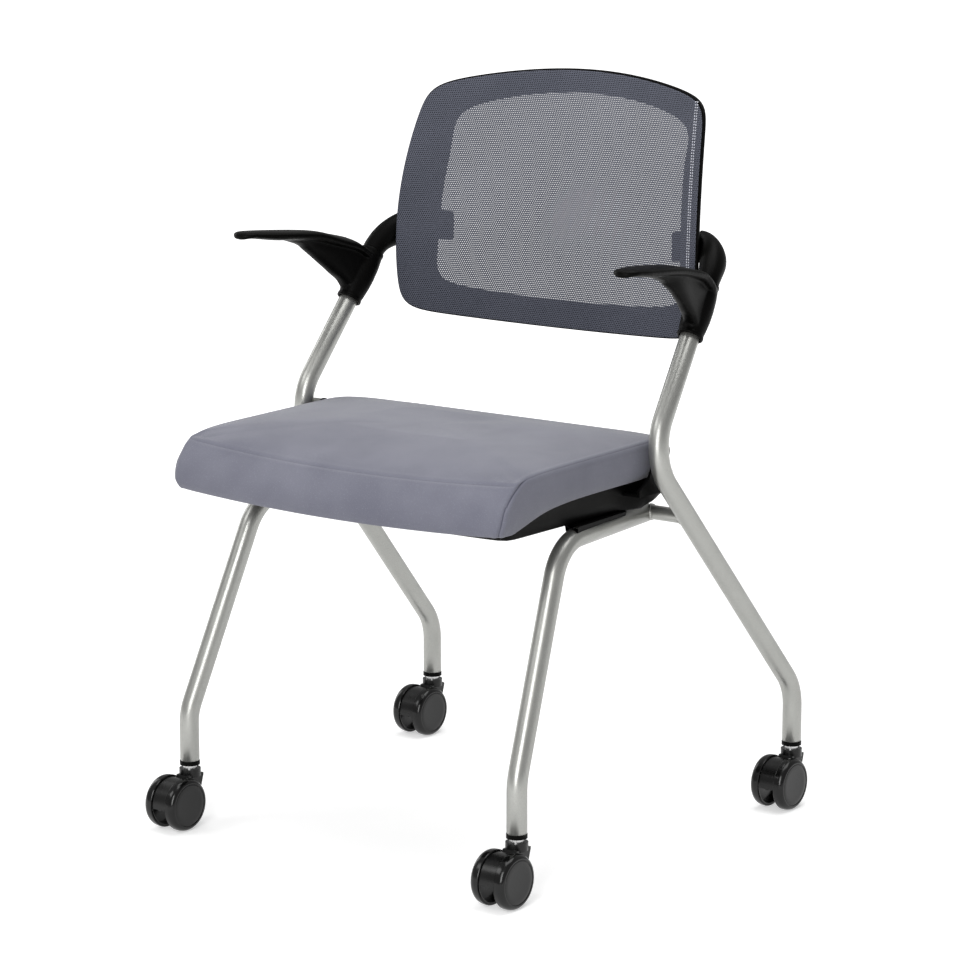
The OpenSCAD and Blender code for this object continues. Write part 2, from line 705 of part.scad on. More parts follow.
// The pan's rim follows the cushion's underside just below it
pan_t = 3;
pan_side_inset = 21;
pan_front_inset = 12;
pan_rear_inset = 44;
rim_share = 0.68;
rim_gap = 1.7;
post_d = 12;
post_sink = 3.4;
post_play = 1;
notch_play = 1;
function rim_point(place, inset) = let(
    a = under_point(place), b = low_point(place), p = between(a, b, rim_share),
    q = seat_xy(place, between(under_inset, low_inset, rim_share) + inset,
        between(under_front_inset, low_inset / 2 - front_lean, rim_share) + inset,
        between(under_inset, low_inset, rim_share) + inset))
    lifted(q, p[2] - rim_gap);
function pan_floor_point(place, inset, z) = lifted(seat_xy(place, pan_side_inset + inset,
    pan_front_inset + inset, pan_rear_inset + inset), z);
module seat_pan() {
    color(black) difference() {
        union() {
            skin(
                [0, seat_mid_y, pan_z],
                [[for (p = seat_places) pan_floor_point(p, 0, pan_z)],
                [for (p = seat_places) rim_point(p, 0)],
                [for (p = seat_places) rim_point(p, pan_t)],
                [for (p = seat_places) pan_floor_point(p, pan_t, pan_z + pan_t)]],
                [0, seat_mid_y, pan_z + pan_t]);
            both_sides() for (p = pan_screws_at) translate([p[0], p[1], pan_z + pan_t / 2])
                cylinder(d = post_d, h = board_z - plug_gap - pan_z - pan_t / 2);
        }
        both_sides() {
            translate([seat_half / 2, flange_front_y - notch_play, flange_z - notch_play])
                cube([seat_half, flange_rear_y - flange_front_y + 2 * notch_play, seat_half]);
            for (p = pan_screws_at) translate([p[0], p[1], pan_z - over]) {
                cylinder(d = screw_hole_d, h = seat_half);
                cylinder(d = screw_head_d + post_play, h = post_sink + over);
            }
        }
    }
}
module pan_screws() {
    color(steel) both_sides() for (p = pan_screws_at)
        screw([p[0], p[1], pan_z + post_sink], [0, 0, 1], board_z + board_hole_depth - screw_end_gap - pan_z - post_sink);
}
module bracket_screws() {
    color(steel) both_sides() for (y = bracket_screw_ys)
        screw([bracket_screw_x, y, flange_z - plug_gap], [0, 0, 1], bracket_t + board_hole_depth - screw_end_gap);
}

// Hinge bracket: an angle, its flange under the board and its upright beside the cushion
module hinge_bracket() {
    color(black) difference() {
        union() {
            slab(bracket_x, bracket_t) {
                polygon([[flange_front_y, flange_z], [flange_rear_y, flange_z],
                    [flange_rear_y, bracket_foot_z], [pivot_y + bracket_neck_back, bracket_neck_z + bracket_neck_back],
                    [pivot_y + bracket_end_r, pivot_z], [pivot_y - bracket_end_r, pivot_z],
                    [pivot_y - bracket_end_r, bracket_neck_z + bracket_neck_back],
                    [pivot_y - bracket_neck_back - bracket_t, bracket_neck_z], [flange_front_y, bracket_foot_z - bracket_t]]);
                translate([pivot_y, pivot_z]) circle(r = bracket_end_r);
            }
            translate([bracket_x - flange_reach, flange_front_y, flange_z])
                cube([flange_reach + bracket_t / 2, flange_rear_y - flange_front_y, bracket_t - plug_gap]);
        }
        crosswise(bracket_x - over, pivot_y, pivot_z, pin_d + plug_gap, bracket_t + 2 * over);
        for (y = bracket_screw_ys) translate([bracket_screw_x, y, flange_z - over])
            cylinder(d = screw_hole_d, h = bracket_t + 2 * over);
    }
}
module hinge_bracket_left() hinge_bracket();
module hinge_bracket_right() mirror([1, 0, 0]) hinge_bracket();

// Rests: saddles clipped on the front legs' rails, which the seat pan comes down on
rest_ahead = 36;
rest_len = 87;
rest_side = 1.5;
rest_half_w = tube_d / 2 + rest_side;
rest_lip = 4;
rail_dir = unit(rail_end - knee);
module rail_rests() {
    start = knee + rail_dir * rest_ahead;
    color(black) both_sides() difference() {
        intersection() {
            along(start, rail_dir) translate([-tube_d, -tube_d, 0])
                cube([2 * tube_d, 2 * tube_d, rest_len]);
            translate([start[0] - 2 * tube_d, start[1] - tube_d, rail_end[2] + rest_lip])
                cube([4 * tube_d, wheelbase, pan_z - seat_gap - rail_end[2] - rest_lip]);
            along(knee, rail_dir) cylinder(r = rest_half_w + rest_lip / 2, h = wheelbase / 2);
        }
        along(knee, rail_dir) cylinder(d = tube_d + plug_gap, h = wheelbase / 2);
        bent(front_heel, knee, rail_end) circle(d = bend_d + plug_gap);
    }
}

// Casters: a socket in the tube, a stem turning in it, a hood on the stem and two wheels
socket_len = 30;
socket_cap = 2;
collar_t = 4.6;
flange_t = 4;
stem_flange_d = 16;
neck_over_collar = 1.7;
neck_outer_d = collar_d + neck_over_collar;
neck_h = 9;
hood_drop = 2;
hood_r = wheel_r - hood_drop;
hood_shell = 2.5;
hood_side_gap = 0.7;
web_t = 4;
axle_boss_d = 12;
axle_z = wheel_r;
hood_w = wheel_gap - 2 * hood_side_gap;
flange_top_z = caster_h - collar_t - seat_gap;
flange_low_z = flange_top_z - flange_t;
neck_low_z = flange_low_z - neck_h;
stem_low_z = axle_z + wheel_r / 2;

module at_front_left() translate([front_x, front_y, 0]) children();
module at_front_right() translate([-front_x, front_y, 0]) children();
module at_rear_left() translate([rear_x, rear_y, 0]) children();
module at_rear_right() translate([-rear_x, rear_y, 0]) children();

module socket() {
    color(black) difference() {
        union() {
            translate([0, 0, caster_h - collar_t]) cylinder(d = collar_d, h = collar_t);
            translate([0, 0, caster_h - over]) cylinder(d = bore_d - plug_gap, h = socket_len + over);
        }
        translate([0, 0, caster_h - collar_t - over])
            cylinder(d = stem_d + 2 * running_gap, h = collar_t + socket_len - socket_cap + over);
    }
}
module stem() {
    color(silver) {
        translate([0, 0, stem_low_z]) cylinder(d = stem_d, h = caster_h + socket_len - 2 * socket_cap - stem_low_z);
        translate([0, 0, flange_low_z]) cylinder(d = stem_flange_d, h = flange_t);
    }
}
module hood() {
    color(black) difference() {
        union() {
            slab(-hood_w / 2, hood_w) {
                intersection() {
                    translate([-caster_trail, axle_z]) difference() {
                        circle(r = hood_r);
                        circle(r = hood_r - hood_shell);
                    }
                    translate([-caster_trail - 2 * hood_r, axle_z - hood_shell])
                        square([4 * hood_r, 2 * hood_r]);
                }
                polygon([[-hood_r / 2, neck_low_z - hood_shell], [-neck_outer_d / 2, neck_low_z + hood_shell],
                    [neck_outer_d / 2, neck_low_z + hood_shell], [neck_outer_d / 2, neck_low_z],
                    [stem_d, stem_low_z - hood_shell], [-stem_d, stem_low_z - hood_shell]]);
            }
            slab(-web_t / 2, web_t) intersection() {
                translate([-caster_trail, axle_z]) circle(r = hood_r - hood_shell / 2);
                translate([-caster_trail - 2 * hood_r, axle_z - axle_boss_d / 3])
                    square([4 * hood_r, 2 * hood_r]);
            }
            crosswise(-hood_w / 2, -caster_trail, axle_z, axle_boss_d, hood_w);
            translate([0, 0, neck_low_z]) cylinder(d = neck_outer_d, h = flange_low_z - neck_low_z);
        }
        translate([0, 0, stem_low_z]) cylinder(d = stem_d + plug_gap, h = caster_h);
        crosswise(-hood_w, -caster_trail, axle_z, axle_d + plug_gap, 2 * hood_w);
    }
}
// Wheels: a closed face with a round shoulder outside, and a hollow round the hub inside.
// The axle ends in the two blind bores.
shoulder_in_share = 0.17;
shoulder_w_share = 0.66;
shoulder_steps = 5;
bore_share = 0.72;
hollow_share = 0.58;
face_t_share = 0.95;
hub_wall = 4;
hub_draft = 0.6;
hollow_r_share = 0.86;
edge_r_share = 0.9;
edge_round_share = 0.03;
groove_w = 1.2;
groove_depth = 0.8;
end_gap = 0.4;
module axle() {
    reach = wheel_gap / 2 + wheel_w * bore_share - end_gap;
    color(steel) crosswise(-reach, -caster_trail, axle_z, axle_d, 2 * reach);
}
module wheel() {
    r = wheel_r;
    w = wheel_w;
    round_in = r * shoulder_in_share;
    round_w = w * shoulder_w_share;
    bore_r = axle_d / 2 + running_gap;
    hub_r = bore_r + hub_wall;
    groove_r = r - round_in - groove_w;
    color(black) translate([wheel_gap / 2, -caster_trail, axle_z]) rotate([0, 90, 0]) rotate_extrude()
        polygon(concat(
            [[0, w * bore_share], [bore_r, w * bore_share], [bore_r, 0], [hub_r, 0],
            [hub_r + hub_draft, w * hollow_share], [r * hollow_r_share - hub_draft, w * hollow_share],
            [r * edge_r_share, 0], [r - r * edge_round_share, 0], [r, r * edge_round_share]],
            [for (p = arc([0, 0], 1, 0, 90, shoulder_steps))
                [r - round_in + round_in * p[0], w - round_w + round_w * p[1]]],
            [[groove_r + groove_w / 2, w], [groove_r, w - groove_depth], [groove_r - groove_w / 2, w - groove_depth],
            [groove_r - groove_w, w - groove_depth / 4], [0, w * face_t_share]]));
}
module left_wheel() wheel();
module right_wheel() mirror([1, 0, 0]) wheel();

module front_left_socket() at_front_left() socket();
module front_left_stem() at_front_left() stem();
module front_left_hood() at_front_left() hood();
module front_left_axle() at_front_left() axle();
module front_left_inner_wheel() at_front_left() right_wheel();
module front_left_outer_wheel() at_front_left() left_wheel();

module front_right_socket() at_front_right() socket();
module front_right_stem() at_front_right() stem();
module front_right_hood() at_front_right() hood();
module front_right_axle() at_front_right() axle();
module front_right_inner_wheel() at_front_right() left_wheel();
module front_right_outer_wheel() at_front_right() right_wheel();

module rear_left_socket() at_rear_left() socket();
module rear_left_stem() at_rear_left() stem();
module rear_left_hood() at_rear_left() hood();
module rear_left_axle() at_rear_left() axle();
module rear_left_inner_wheel() at_rear_left() right_wheel();
module rear_left_outer_wheel() at_rear_left() left_wheel();

module rear_right_socket() at_rear_right() socket();
module rear_right_stem() at_rear_right() stem();
module rear_right_hood() at_rear_right() hood();
module rear_right_axle() at_rear_right() axle();
module rear_right_inner_wheel() at_rear_right() left_wheel();
module rear_right_outer_wheel() at_rear_right() right_wheel();

side_tube_left();
side_tube_right();
front_leg_left();
front_leg_right();
cross_bar();
pivot_boss_left();
pivot_boss_right();
hinge_bushes();
arm_left();
arm_right();
arm_screws();
back_support_left();
back_support_right();
back_frame();
back_mesh();
back_screws();
seat_cushion();
seat_board();
seat_pan();
rail_rests();
hinge_bracket_left();
hinge_bracket_right();
hinge_pins();
bracket_screws();
pan_screws();
front_left_socket();
front_left_stem();
front_left_hood();
front_left_axle();
front_left_inner_wheel();
front_left_outer_wheel();
front_right_socket();
front_right_stem();
front_right_hood();
front_right_axle();
front_right_inner_wheel();
front_right_outer_wheel();
rear_left_socket();
rear_left_stem();
rear_left_hood();
rear_left_axle();
rear_left_inner_wheel();
rear_left_outer_wheel();
rear_right_socket();
rear_right_stem();
rear_right_hood();
rear_right_axle();
rear_right_inner_wheel();
rear_right_outer_wheel();
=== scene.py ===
import json
import math

import bmesh
import bpy
from mathutils import Matrix, Vector, kdtree


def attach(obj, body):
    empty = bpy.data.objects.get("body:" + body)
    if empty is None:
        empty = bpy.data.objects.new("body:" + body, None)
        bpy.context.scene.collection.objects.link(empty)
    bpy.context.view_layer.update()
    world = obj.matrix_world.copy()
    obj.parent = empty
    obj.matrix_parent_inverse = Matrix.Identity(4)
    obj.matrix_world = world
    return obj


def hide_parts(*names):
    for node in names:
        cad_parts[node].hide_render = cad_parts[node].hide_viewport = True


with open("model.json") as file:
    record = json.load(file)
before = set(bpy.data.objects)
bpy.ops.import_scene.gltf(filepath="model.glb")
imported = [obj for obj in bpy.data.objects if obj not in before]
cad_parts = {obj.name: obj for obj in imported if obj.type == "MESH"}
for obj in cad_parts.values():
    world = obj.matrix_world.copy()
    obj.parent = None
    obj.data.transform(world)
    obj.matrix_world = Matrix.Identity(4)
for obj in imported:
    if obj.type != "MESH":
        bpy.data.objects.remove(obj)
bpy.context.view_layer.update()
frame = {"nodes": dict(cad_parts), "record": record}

MM = 0.001
X = Vector((1, 0, 0))
Z = Vector((0, 0, 1))
scene = bpy.context.scene
SIDES = {"left": 1, "right": -1}  # the sitter's sides, as the sign of x


# Camera, at the place from which the photograph was taken

camera_at = Vector((2299.6, -2978.5, 1131.8)) * MM
camera_azimuth = 0.65467
camera_elevation = 0.19456
focal_px = 3410.6
picture_px = 960
sensor_mm = 36

toward = Vector((math.sin(camera_azimuth) * math.cos(camera_elevation),
                 -math.cos(camera_azimuth) * math.cos(camera_elevation),
                 math.sin(camera_elevation)))
camera = bpy.data.objects.new("camera", bpy.data.cameras.new("camera"))
scene.collection.objects.link(camera)
camera.data.sensor_width = sensor_mm
camera.data.lens = focal_px / picture_px * sensor_mm
camera.data.clip_end = 100
camera.location = camera_at
camera.rotation_mode = "QUATERNION"
camera.rotation_quaternion = (-toward).to_track_quat("-Z", "Y")
scene.camera = camera


# Shader maths

class Value:
    """A socket of a shader tree. Arithmetic with values adds Math nodes."""

    def __init__(self, tree, socket):
        self.tree = tree
        self.socket = socket

    def __add__(self, other):
        return self.tree.math("ADD", self, other)

    def __radd__(self, other):
        return self.tree.math("ADD", other, self)

    def __sub__(self, other):
        return self.tree.math("SUBTRACT", self, other)

    def __rsub__(self, other):
        return self.tree.math("SUBTRACT", other, self)

    def __mul__(self, other):
        return self.tree.math("MULTIPLY", self, other)

    def __rmul__(self, other):
        return self.tree.math("MULTIPLY", other, self)

    def __truediv__(self, other):
        return self.tree.math("DIVIDE", self, other)

    def __rtruediv__(self, other):
        return self.tree.math("DIVIDE", other, self)


class ShaderTree:
    """The nodes of a material or of the world"""

    def __init__(self, tree):
        self.tree = tree

    def node(self, kind, settings=(), inputs=(), output=0):
        """A node with its settings made first, then its sockets' values or links"""
        made = self.tree.nodes.new(kind)
        for name, value in dict(settings).items():
            setattr(made, name, value)
        for name, value in dict(inputs).items():
            self.give(made.inputs[name], value)
        return Value(self, made.outputs[output])

    def give(self, socket, value):
        if isinstance(value, Value):
            self.tree.links.new(value.socket, socket)
        else:
            socket.default_value = value

    def math(self, operation, *values):
        return self.node("ShaderNodeMath", {"operation": operation}, dict(enumerate(values)))

    def part(self, value):
        """What is left of a value above its whole number"""
        return self.math("FRACT", value)

    def object_place(self):
        return self.node("ShaderNodeTexCoord", output="Object")

    def cloth_place(self, layer):
        """The two coordinates of a UV map that holds metres along the cloth"""
        return self.axes(self.node("ShaderNodeUVMap", {"uv_map": layer}))[:2]

    def axes(self, place):
        first = self.node("ShaderNodeSeparateXYZ", {}, {0: place})
        return [Value(self, socket) for socket in first.socket.node.outputs]

    def attribute(self, name):
        return self.node("ShaderNodeAttribute", {"attribute_name": name}, output="Fac")

    def noise(self, scale, detail):
        return self.node("ShaderNodeTexNoise", {}, {
            "Vector": self.object_place(), "Scale": scale, "Detail": detail})

    def span(self, value, low, high, to_low=0, to_high=1, smooth=False):
        """The value stretched from one span to another and kept inside it"""
        kind = "SMOOTHSTEP" if smooth else "LINEAR"
        return self.node("ShaderNodeMapRange", {"interpolation_type": kind}, {
            "Value": value, "From Min": low, "From Max": high, "To Min": to_low, "To Max": to_high})

    def blend(self, share, a, b):
        """A colour between two colours. A Mix node has its colours at these sockets."""
        colour_a, colour_b, colour_out = 6, 7, 2
        return self.node("ShaderNodeMix", {"data_type": "RGBA"}, {
            "Factor": share, colour_a: a, colour_b: b}, colour_out)

    def bump(self, height, distance, strength):
        return self.node("ShaderNodeBump", {}, {
            "Height": height, "Distance": distance, "Strength": strength})


class Paint(ShaderTree):
    """A material, made with the constants of its Principled shader"""

    def __init__(self, name, **constants):
        self.material = bpy.data.materials.new(name)
        self.material.use_nodes = True
        super().__init__(self.material.node_tree)
        self.shader = self.tree.nodes["Principled BSDF"]
        self.wear(**constants)

    def wear(self, **values):
        """Give the shader's sockets values or links, and hand over the material"""
        for socket, value in values.items():
            self.give(self.shader.inputs[socket.replace("_", " ")], value)
        return self.material


def grey(level, tint=(1, 1, 1)):
    return (level * tint[0], level * tint[1], level * tint[2], 1)


# Materials

def silver_coat_paint():
    """A paint with fine metal flakes, a little uneven in its gloss"""
    paint = Paint("silver_coat", Metallic=0.85, Specular_IOR_Level=0.5)
    flakes = paint.noise(2600, 1)
    clouds = paint.noise(28, 3)
    warm = (1.0, 1.005, 0.955)
    colour = paint.blend(paint.span(flakes, 0.35, 0.65), grey(0.31, warm), grey(0.42, warm))
    return paint.wear(Base_Color=colour, Roughness=paint.span(clouds, 0.3, 0.7, 0.33, 0.42),
                      Normal=paint.bump(flakes, 0.02 * MM, 0.35))


def black_plastic_paint():
    """Moulded plastic with a fine grain"""
    paint = Paint("black_plastic", Specular_IOR_Level=0.05)
    grain = paint.noise(1500, 2)
    clouds = paint.noise(20, 2)
    colour = paint.blend(clouds, grey(0.0009), grey(0.0018, (1.05, 1, 0.88)))
    return paint.wear(Base_Color=colour, Roughness=paint.span(clouds, 0.3, 0.7, 0.36, 0.46),
                      Normal=paint.bump(grain, 0.05 * MM, 0.5))


def black_coat_paint():
    """A thick coat with a slight peel"""
    paint = Paint("black_coat", Specular_IOR_Level=0.05)
    peel = paint.noise(420, 1)
    return paint.wear(Base_Color=grey(0.002), Roughness=paint.span(peel, 0.3, 0.7, 0.34, 0.42),
                      Normal=paint.bump(peel, 0.04 * MM, 0.5))


def steel_paint(name, roughness):
    """Bare steel with faint streaks"""
    paint = Paint(name, Metallic=1.0)
    streaks = paint.noise(600, 3)
    return paint.wear(Base_Color=paint.blend(streaks, grey(0.46), grey(0.60)),
                      Roughness=paint.span(streaks, 0.3, 0.7, roughness, roughness + 0.1))


def gloss_paint(name, roughness):
    """The casters' smoother plastic"""
    paint = Paint(name, Specular_IOR_Level=0.32)
    clouds = paint.noise(60, 3)
    ripple = paint.noise(160, 1)
    return paint.wear(Base_Color=paint.blend(clouds, grey(0.0022), grey(0.004)),
                      Roughness=paint.span(clouds, 0.3, 0.7, roughness, roughness + 0.08),
                      Normal=paint.bump(ripple, 0.05 * MM, 0.25))


two_plies = 2.4 * MM


def plywood_paint():
    """Pale and dark plies by turns, up through the board"""
    paint = Paint("plywood", Specular_IOR_Level=0.4)
    _, _, z = paint.axes(paint.object_place())
    ply = paint.part(z / two_plies)
    layers = paint.span(ply, 0.45, 0.55)
    fibre = paint.noise(240, 4)
    pale = paint.blend(fibre, (0.46, 0.30, 0.15, 1), (0.60, 0.43, 0.25, 1))
    dark = paint.blend(fibre, (0.30, 0.17, 0.08, 1), (0.40, 0.25, 0.13, 1))
    return paint.wear(Base_Color=paint.blend(layers, pale, dark), Roughness=0.6 + 0.2 * fibre,
                      Normal=paint.bump(fibre, 0.1 * MM, 0.4))


weave_pitch = 0.9 * MM


def fabric_paint():
    """A plain weave of two close yarns, with lighter flecks scattered over it"""
    paint = Paint("seat_fabric", Specular_IOR_Level=0.25, Sheen_Weight=0.35, Sheen_Roughness=0.45)
    u, v = paint.cloth_place("weave")
    warp = paint.math("SINE", u * (2 * math.pi / weave_pitch))
    weft = paint.math("SINE", v * (2 * math.pi / weave_pitch))
    knots = warp * weft
    yarn = paint.noise(900, 3)
    tone = paint.noise(14, 2)
    fleck = paint.noise(1100, 2)
    body = paint.blend(paint.span(tone, 0.35, 0.65), (0.124, 0.127, 0.160, 1),
                       (0.156, 0.159, 0.194, 1))
    woven = paint.blend(paint.span(knots, -1, 1, 0, 0.22), body, (0.10, 0.10, 0.15, 1))
    light = paint.blend(paint.span(fleck, 0.60, 0.72, 0, 0.30), woven, (0.34, 0.35, 0.41, 1))
    # Painted shade: the seam share darkens the fabric to near black along the sunk seams, where the
    # grooves would be in shade
    seam = paint.attribute("seam")
    dark = paint.span(seam, 0.55, 1, 0, 0.75, smooth=True)
    colour = paint.blend(dark, light, (0.03, 0.03, 0.05, 1))
    relief = knots * 0.5 + yarn
    return paint.wear(Base_Color=colour, Roughness=paint.span(yarn, 0.3, 0.7, 0.82, 0.95),
                      Normal=paint.bump(relief, 0.12 * MM, 0.55))


knit_pitch = 2.55 * MM
knit_rise = 2.3 * MM


def net_paint():
    """A knit with rows of round holes, every other row moved by half a hole, with painted shade
    darkening the thread toward each hole's rim
    """
    paint = Paint("back_net", Specular_IOR_Level=0.3, Roughness=0.7)
    u, v = paint.cloth_place("knit")

    def hole(shift):
        """Squared distance from the middle of a hole, in pitches"""
        a = paint.part(u / knit_pitch + shift) - 0.5
        b = paint.part(v / (2 * knit_rise) + shift) - 0.5
        return a * a + b * b * (2 * knit_rise / knit_pitch) ** 2

    nearest = paint.math("MINIMUM", hole(0), hole(0.5))
    yarn = paint.noise(1600, 2)
    tone = paint.noise(12, 2)
    light = paint.blend(paint.span(tone, 0.35, 0.65), (0.064, 0.070, 0.094, 1),
                        (0.080, 0.086, 0.114, 1))
    thread = paint.blend(paint.span(yarn, 0.4, 0.7, 0, 0.5), light, (0.145, 0.153, 0.190, 1))
    # Painted shade: the thread's colour goes near black toward each hole's rim, where the knit would
    # shade itself
    colour = paint.blend(paint.span(nearest, 0.05, 0.20), (0.018, 0.019, 0.028, 1), thread)
    cover = paint.span(nearest, 0.016, 0.050)
    whole = paint.attribute("hem")
    return paint.wear(Base_Color=colour, Alpha=paint.math("MAXIMUM", cover, whole),
                      Normal=paint.bump(nearest, 0.5 * MM, 0.6))


def thread_paint():
    """Pale sewing thread"""
    paint = Paint("thread", Roughness=0.6)
    twist = paint.noise(2500, 2)
    return paint.wear(Base_Color=paint.blend(twist, (0.42, 0.43, 0.49, 1), (0.62, 0.63, 0.68, 1)))


PAINTS = {
    "silver_coat": silver_coat_paint(),
    "black_plastic": black_plastic_paint(),
    "black_coat": black_coat_paint(),
    "steel": steel_paint("steel", 0.25),
    "stem_steel": steel_paint("stem_steel", 0.2),
    "plywood": plywood_paint(),
    "caster_plastic": gloss_paint("caster_plastic", 0.24),
    "wheel_plastic": gloss_paint("wheel_plastic", 0.15),
    "seat_fabric": fabric_paint(),
    "back_net": net_paint(),
    "thread": thread_paint(),
}


# Finish of the nodes that show as they are

for sub in frame["record"]["subparts"]:
    node = frame["nodes"][sub["node"]]
    node.data.materials.clear()
    node.data.materials.append(PAINTS[sub["material_slot"]])


# The object's lines, in millimetres, as the frame holds them

def spot(*values):
    return Vector(values)


rear_foot, rear_heel = spot(264.5, 264.3, 74), spot(264.5, 264.3, 138)
waist, shoulder = spot(252, -9.7, 447), spot(241.5, 77.8, 565)
front_foot, front_heel = spot(231.5, -220.7, 74), spot(231.5, -220.7, 130)
knee, rail_end = spot(212, -119.7, 366), spot(199, 58.3, 369.5)
rail = (rail_end - knee).normalized()
bar_end = spot(255.1, 58.3, 370.3)
tube_r, bar_r, bend_r = 11, 8, 58
arm_axis = (shoulder - waist).normalized()
sleeve_len = 68
sleeve_top = shoulder + arm_axis * sleeve_len
tube_top = sleeve_top - arm_axis * tube_r
wheel_r, wheel_w, wheel_gap, caster_trail = 30, 12, 20, 25
caster_places = {"front_left": (231.5, -220.7), "front_right": (-231.5, -220.7),
                 "rear_left": (264.5, 264.3), "rear_right": (-264.5, 264.3)}


# Shapes

def turns(count):
    return [2 * math.pi * i / count for i in range(count)]


def power(value, exponent):
    """A power that keeps the value's sign"""
    return math.copysign(abs(value) ** exponent, value)


def eased(share):
    """0 to 1 with a soft start and end"""
    share = min(max(share, 0), 1)
    return share * share * (3 - 2 * share)


def along(table, at):
    """A smooth line through rows of a place and its values, each held flat outside"""
    rows = [(r[0], Vector(r[1:]).to_3d() if len(r) > 2 else r[1]) for r in table]
    if at <= rows[0][0]:
        return rows[0][1]
    for i in range(len(rows) - 1):
        (a, p), (b, q) = rows[i], rows[i + 1]
        if at <= b:
            before, after = rows[max(i - 1, 0)], rows[min(i + 2, len(rows) - 1)]
            share = (at - a) / (b - a)
            into = (q - before[1]) * ((b - a) / (b - before[0]))
            out = (after[1] - p) * ((b - a) / (after[0] - a))
            s, t = share * share, share * share * share
            return (p * (2 * t - 3 * s + 1) + into * (t - 2 * s + share)
                    + q * (3 * s - 2 * t) + out * (t - s))
    return rows[-1][1]


def filleted(outline, radius):
    """A closed outline with each corner rounded"""
    steps = 4
    made = []
    for i, corner in enumerate(outline):
        corner = Vector(corner)
        behind = Vector(outline[i - 1]) - corner
        ahead = Vector(outline[(i + 1) % len(outline)]) - corner
        cut = min(radius, 0.45 * behind.length, 0.45 * ahead.length)
        a, b = corner + behind.normalized() * cut, corner + ahead.normalized() * cut
        for k in range(steps + 1):
            t = k / steps
            made.append(a * (1 - t) ** 2 + corner * 2 * t * (1 - t) + b * t * t)
    return made


def new_loop(bm, points):
    """A closed line through the points"""
    loop = bmesh.ops.create_circle(bm, segments=len(points), radius=1)["verts"]
    for vert, place in zip(loop, points):
        vert.co = place
    return loop


def grown(bm, loop, points):
    """The loop extruded once, its new corners set at the points"""
    count = len(loop)
    edges = [bm.edges.get((loop[i], loop[(i + 1) % count])) for i in range(count)]
    made = bmesh.ops.extrude_edge_only(bm, edges=edges)["geom"]
    fresh = {g for g in made if isinstance(g, bmesh.types.BMVert)}
    new = [next(e.other_vert(v) for e in v.link_edges if e.other_vert(v) in fresh) for v in loop]
    for vert, place in zip(new, points):
        vert.co = place
    return new


def loft(bm, rings, closed=False, caps=True):
    """A skin through rings of as many points each"""
    first = loop = new_loop(bm, rings[0])
    if caps and not closed:
        bmesh.ops.contextual_create(bm, geom=first)
    for ring in rings[1:]:
        loop = grown(bm, loop, ring)
    if closed:
        count = len(loop)
        ends = [bm.edges.get((ring[i], ring[(i + 1) % count]))
                for ring in (first, loop) for i in range(count)]
        bmesh.ops.bridge_loops(bm, edges=ends)
    elif caps:
        bmesh.ops.contextual_create(bm, geom=loop)
    bmesh.ops.recalc_face_normals(bm, faces=bm.faces)


def sweep(bm, stations, sides):
    """A round bar through stations of a place, a direction and a radius"""
    side = stations[0][1].orthogonal().normalized()
    rings = []
    for at, direction, radius in stations:
        side = (side - direction * side.dot(direction)).normalized()
        up = direction.cross(side)
        rings.append([at + (side * math.cos(a) + up * math.sin(a)) * radius for a in turns(sides)])
    loft(bm, rings)


def bent_path(points, radius, bend):
    """Stations along straight runs with an exact bend at each inner point"""
    heading = (points[1] - points[0]).normalized()
    edge = 0.5
    stations = [(points[0], heading, radius - edge), (points[0] + heading * edge, heading, radius)]
    for a, b, c in zip(points, points[1:], points[2:]):
        into, out = (b - a).normalized(), (c - b).normalized()
        turn = into.angle(out)
        side = (out - into * into.dot(out)).normalized()
        start = b - into * bend * math.tan(turn / 2)
        centre = start + side * bend
        steps = max(2, math.ceil(turn / math.radians(3)))
        for i in range(steps + 1):
            sine, cosine = math.sin(turn * i / steps), math.cos(turn * i / steps)
            stations.append((centre + (into * sine - side * cosine) * bend,
                             into * cosine + side * sine, radius))
    heading = (points[-1] - points[-2]).normalized()
    stations += [(points[-1] - heading * edge, heading, radius), (points[-1], heading, radius - edge)]
    return stations


def bead(bm, line, radius):
    """A weld bead along a closed line, a little uneven in its width"""
    sides, uneven, wave = 8, 0.06, 2.1
    count = len(line)
    middle = sum(line, Vector()) / count
    rings = []
    for i, at in enumerate(line):
        direction = (line[(i + 1) % count] - line[i - 1]).normalized()
        r = radius * (1 + uneven * math.sin(i * wave))
        out = at - middle
        out = (out - direction * out.dot(direction)).normalized()
        up = direction.cross(out)
        rings.append([at + (out * math.cos(a) + up * math.sin(a)) * r for a in turns(sides)])
    loft(bm, rings, closed=True)


def lathe(bm, profile):
    """A profile of radius and height pairs turned round Z"""
    start = bm.verts[:]
    chain = bmesh.ops.create_vert(bm, co=(profile[0][0], 0, profile[0][1]))["vert"]
    last = chain[0]
    for radius, height in profile[1:]:
        made = bmesh.ops.extrude_vert_indiv(bm, verts=[last])
        last = made["verts"][0]
        last.co = (radius, 0, height)
    fresh = [v for v in bm.verts if v not in start]
    edges = [e for e in bm.edges if e.verts[0] in fresh and e.verts[1] in fresh]
    bmesh.ops.spin(bm, geom=fresh + edges, cent=(0, 0, 0), axis=(0, 0, 1), steps=72,
                   angle=2 * math.pi, use_merge=True)
    bmesh.ops.remove_doubles(bm, verts=bm.verts, dist=0.001)
    bmesh.ops.recalc_face_normals(bm, faces=bm.faces)


def block(bm, low, high, round_edge):
    """A box with rounded edges"""
    made = bmesh.ops.create_cube(bm, size=1)["verts"]
    bmesh.ops.scale(bm, vec=high - low, verts=made)
    bmesh.ops.translate(bm, vec=(low + high) / 2, verts=made)
    edges = list({e for v in made for e in v.link_edges})
    bmesh.ops.bevel(bm, geom=edges, offset=round_edge, segments=3, profile=0.5, affect="EDGES",
                    material=-1)


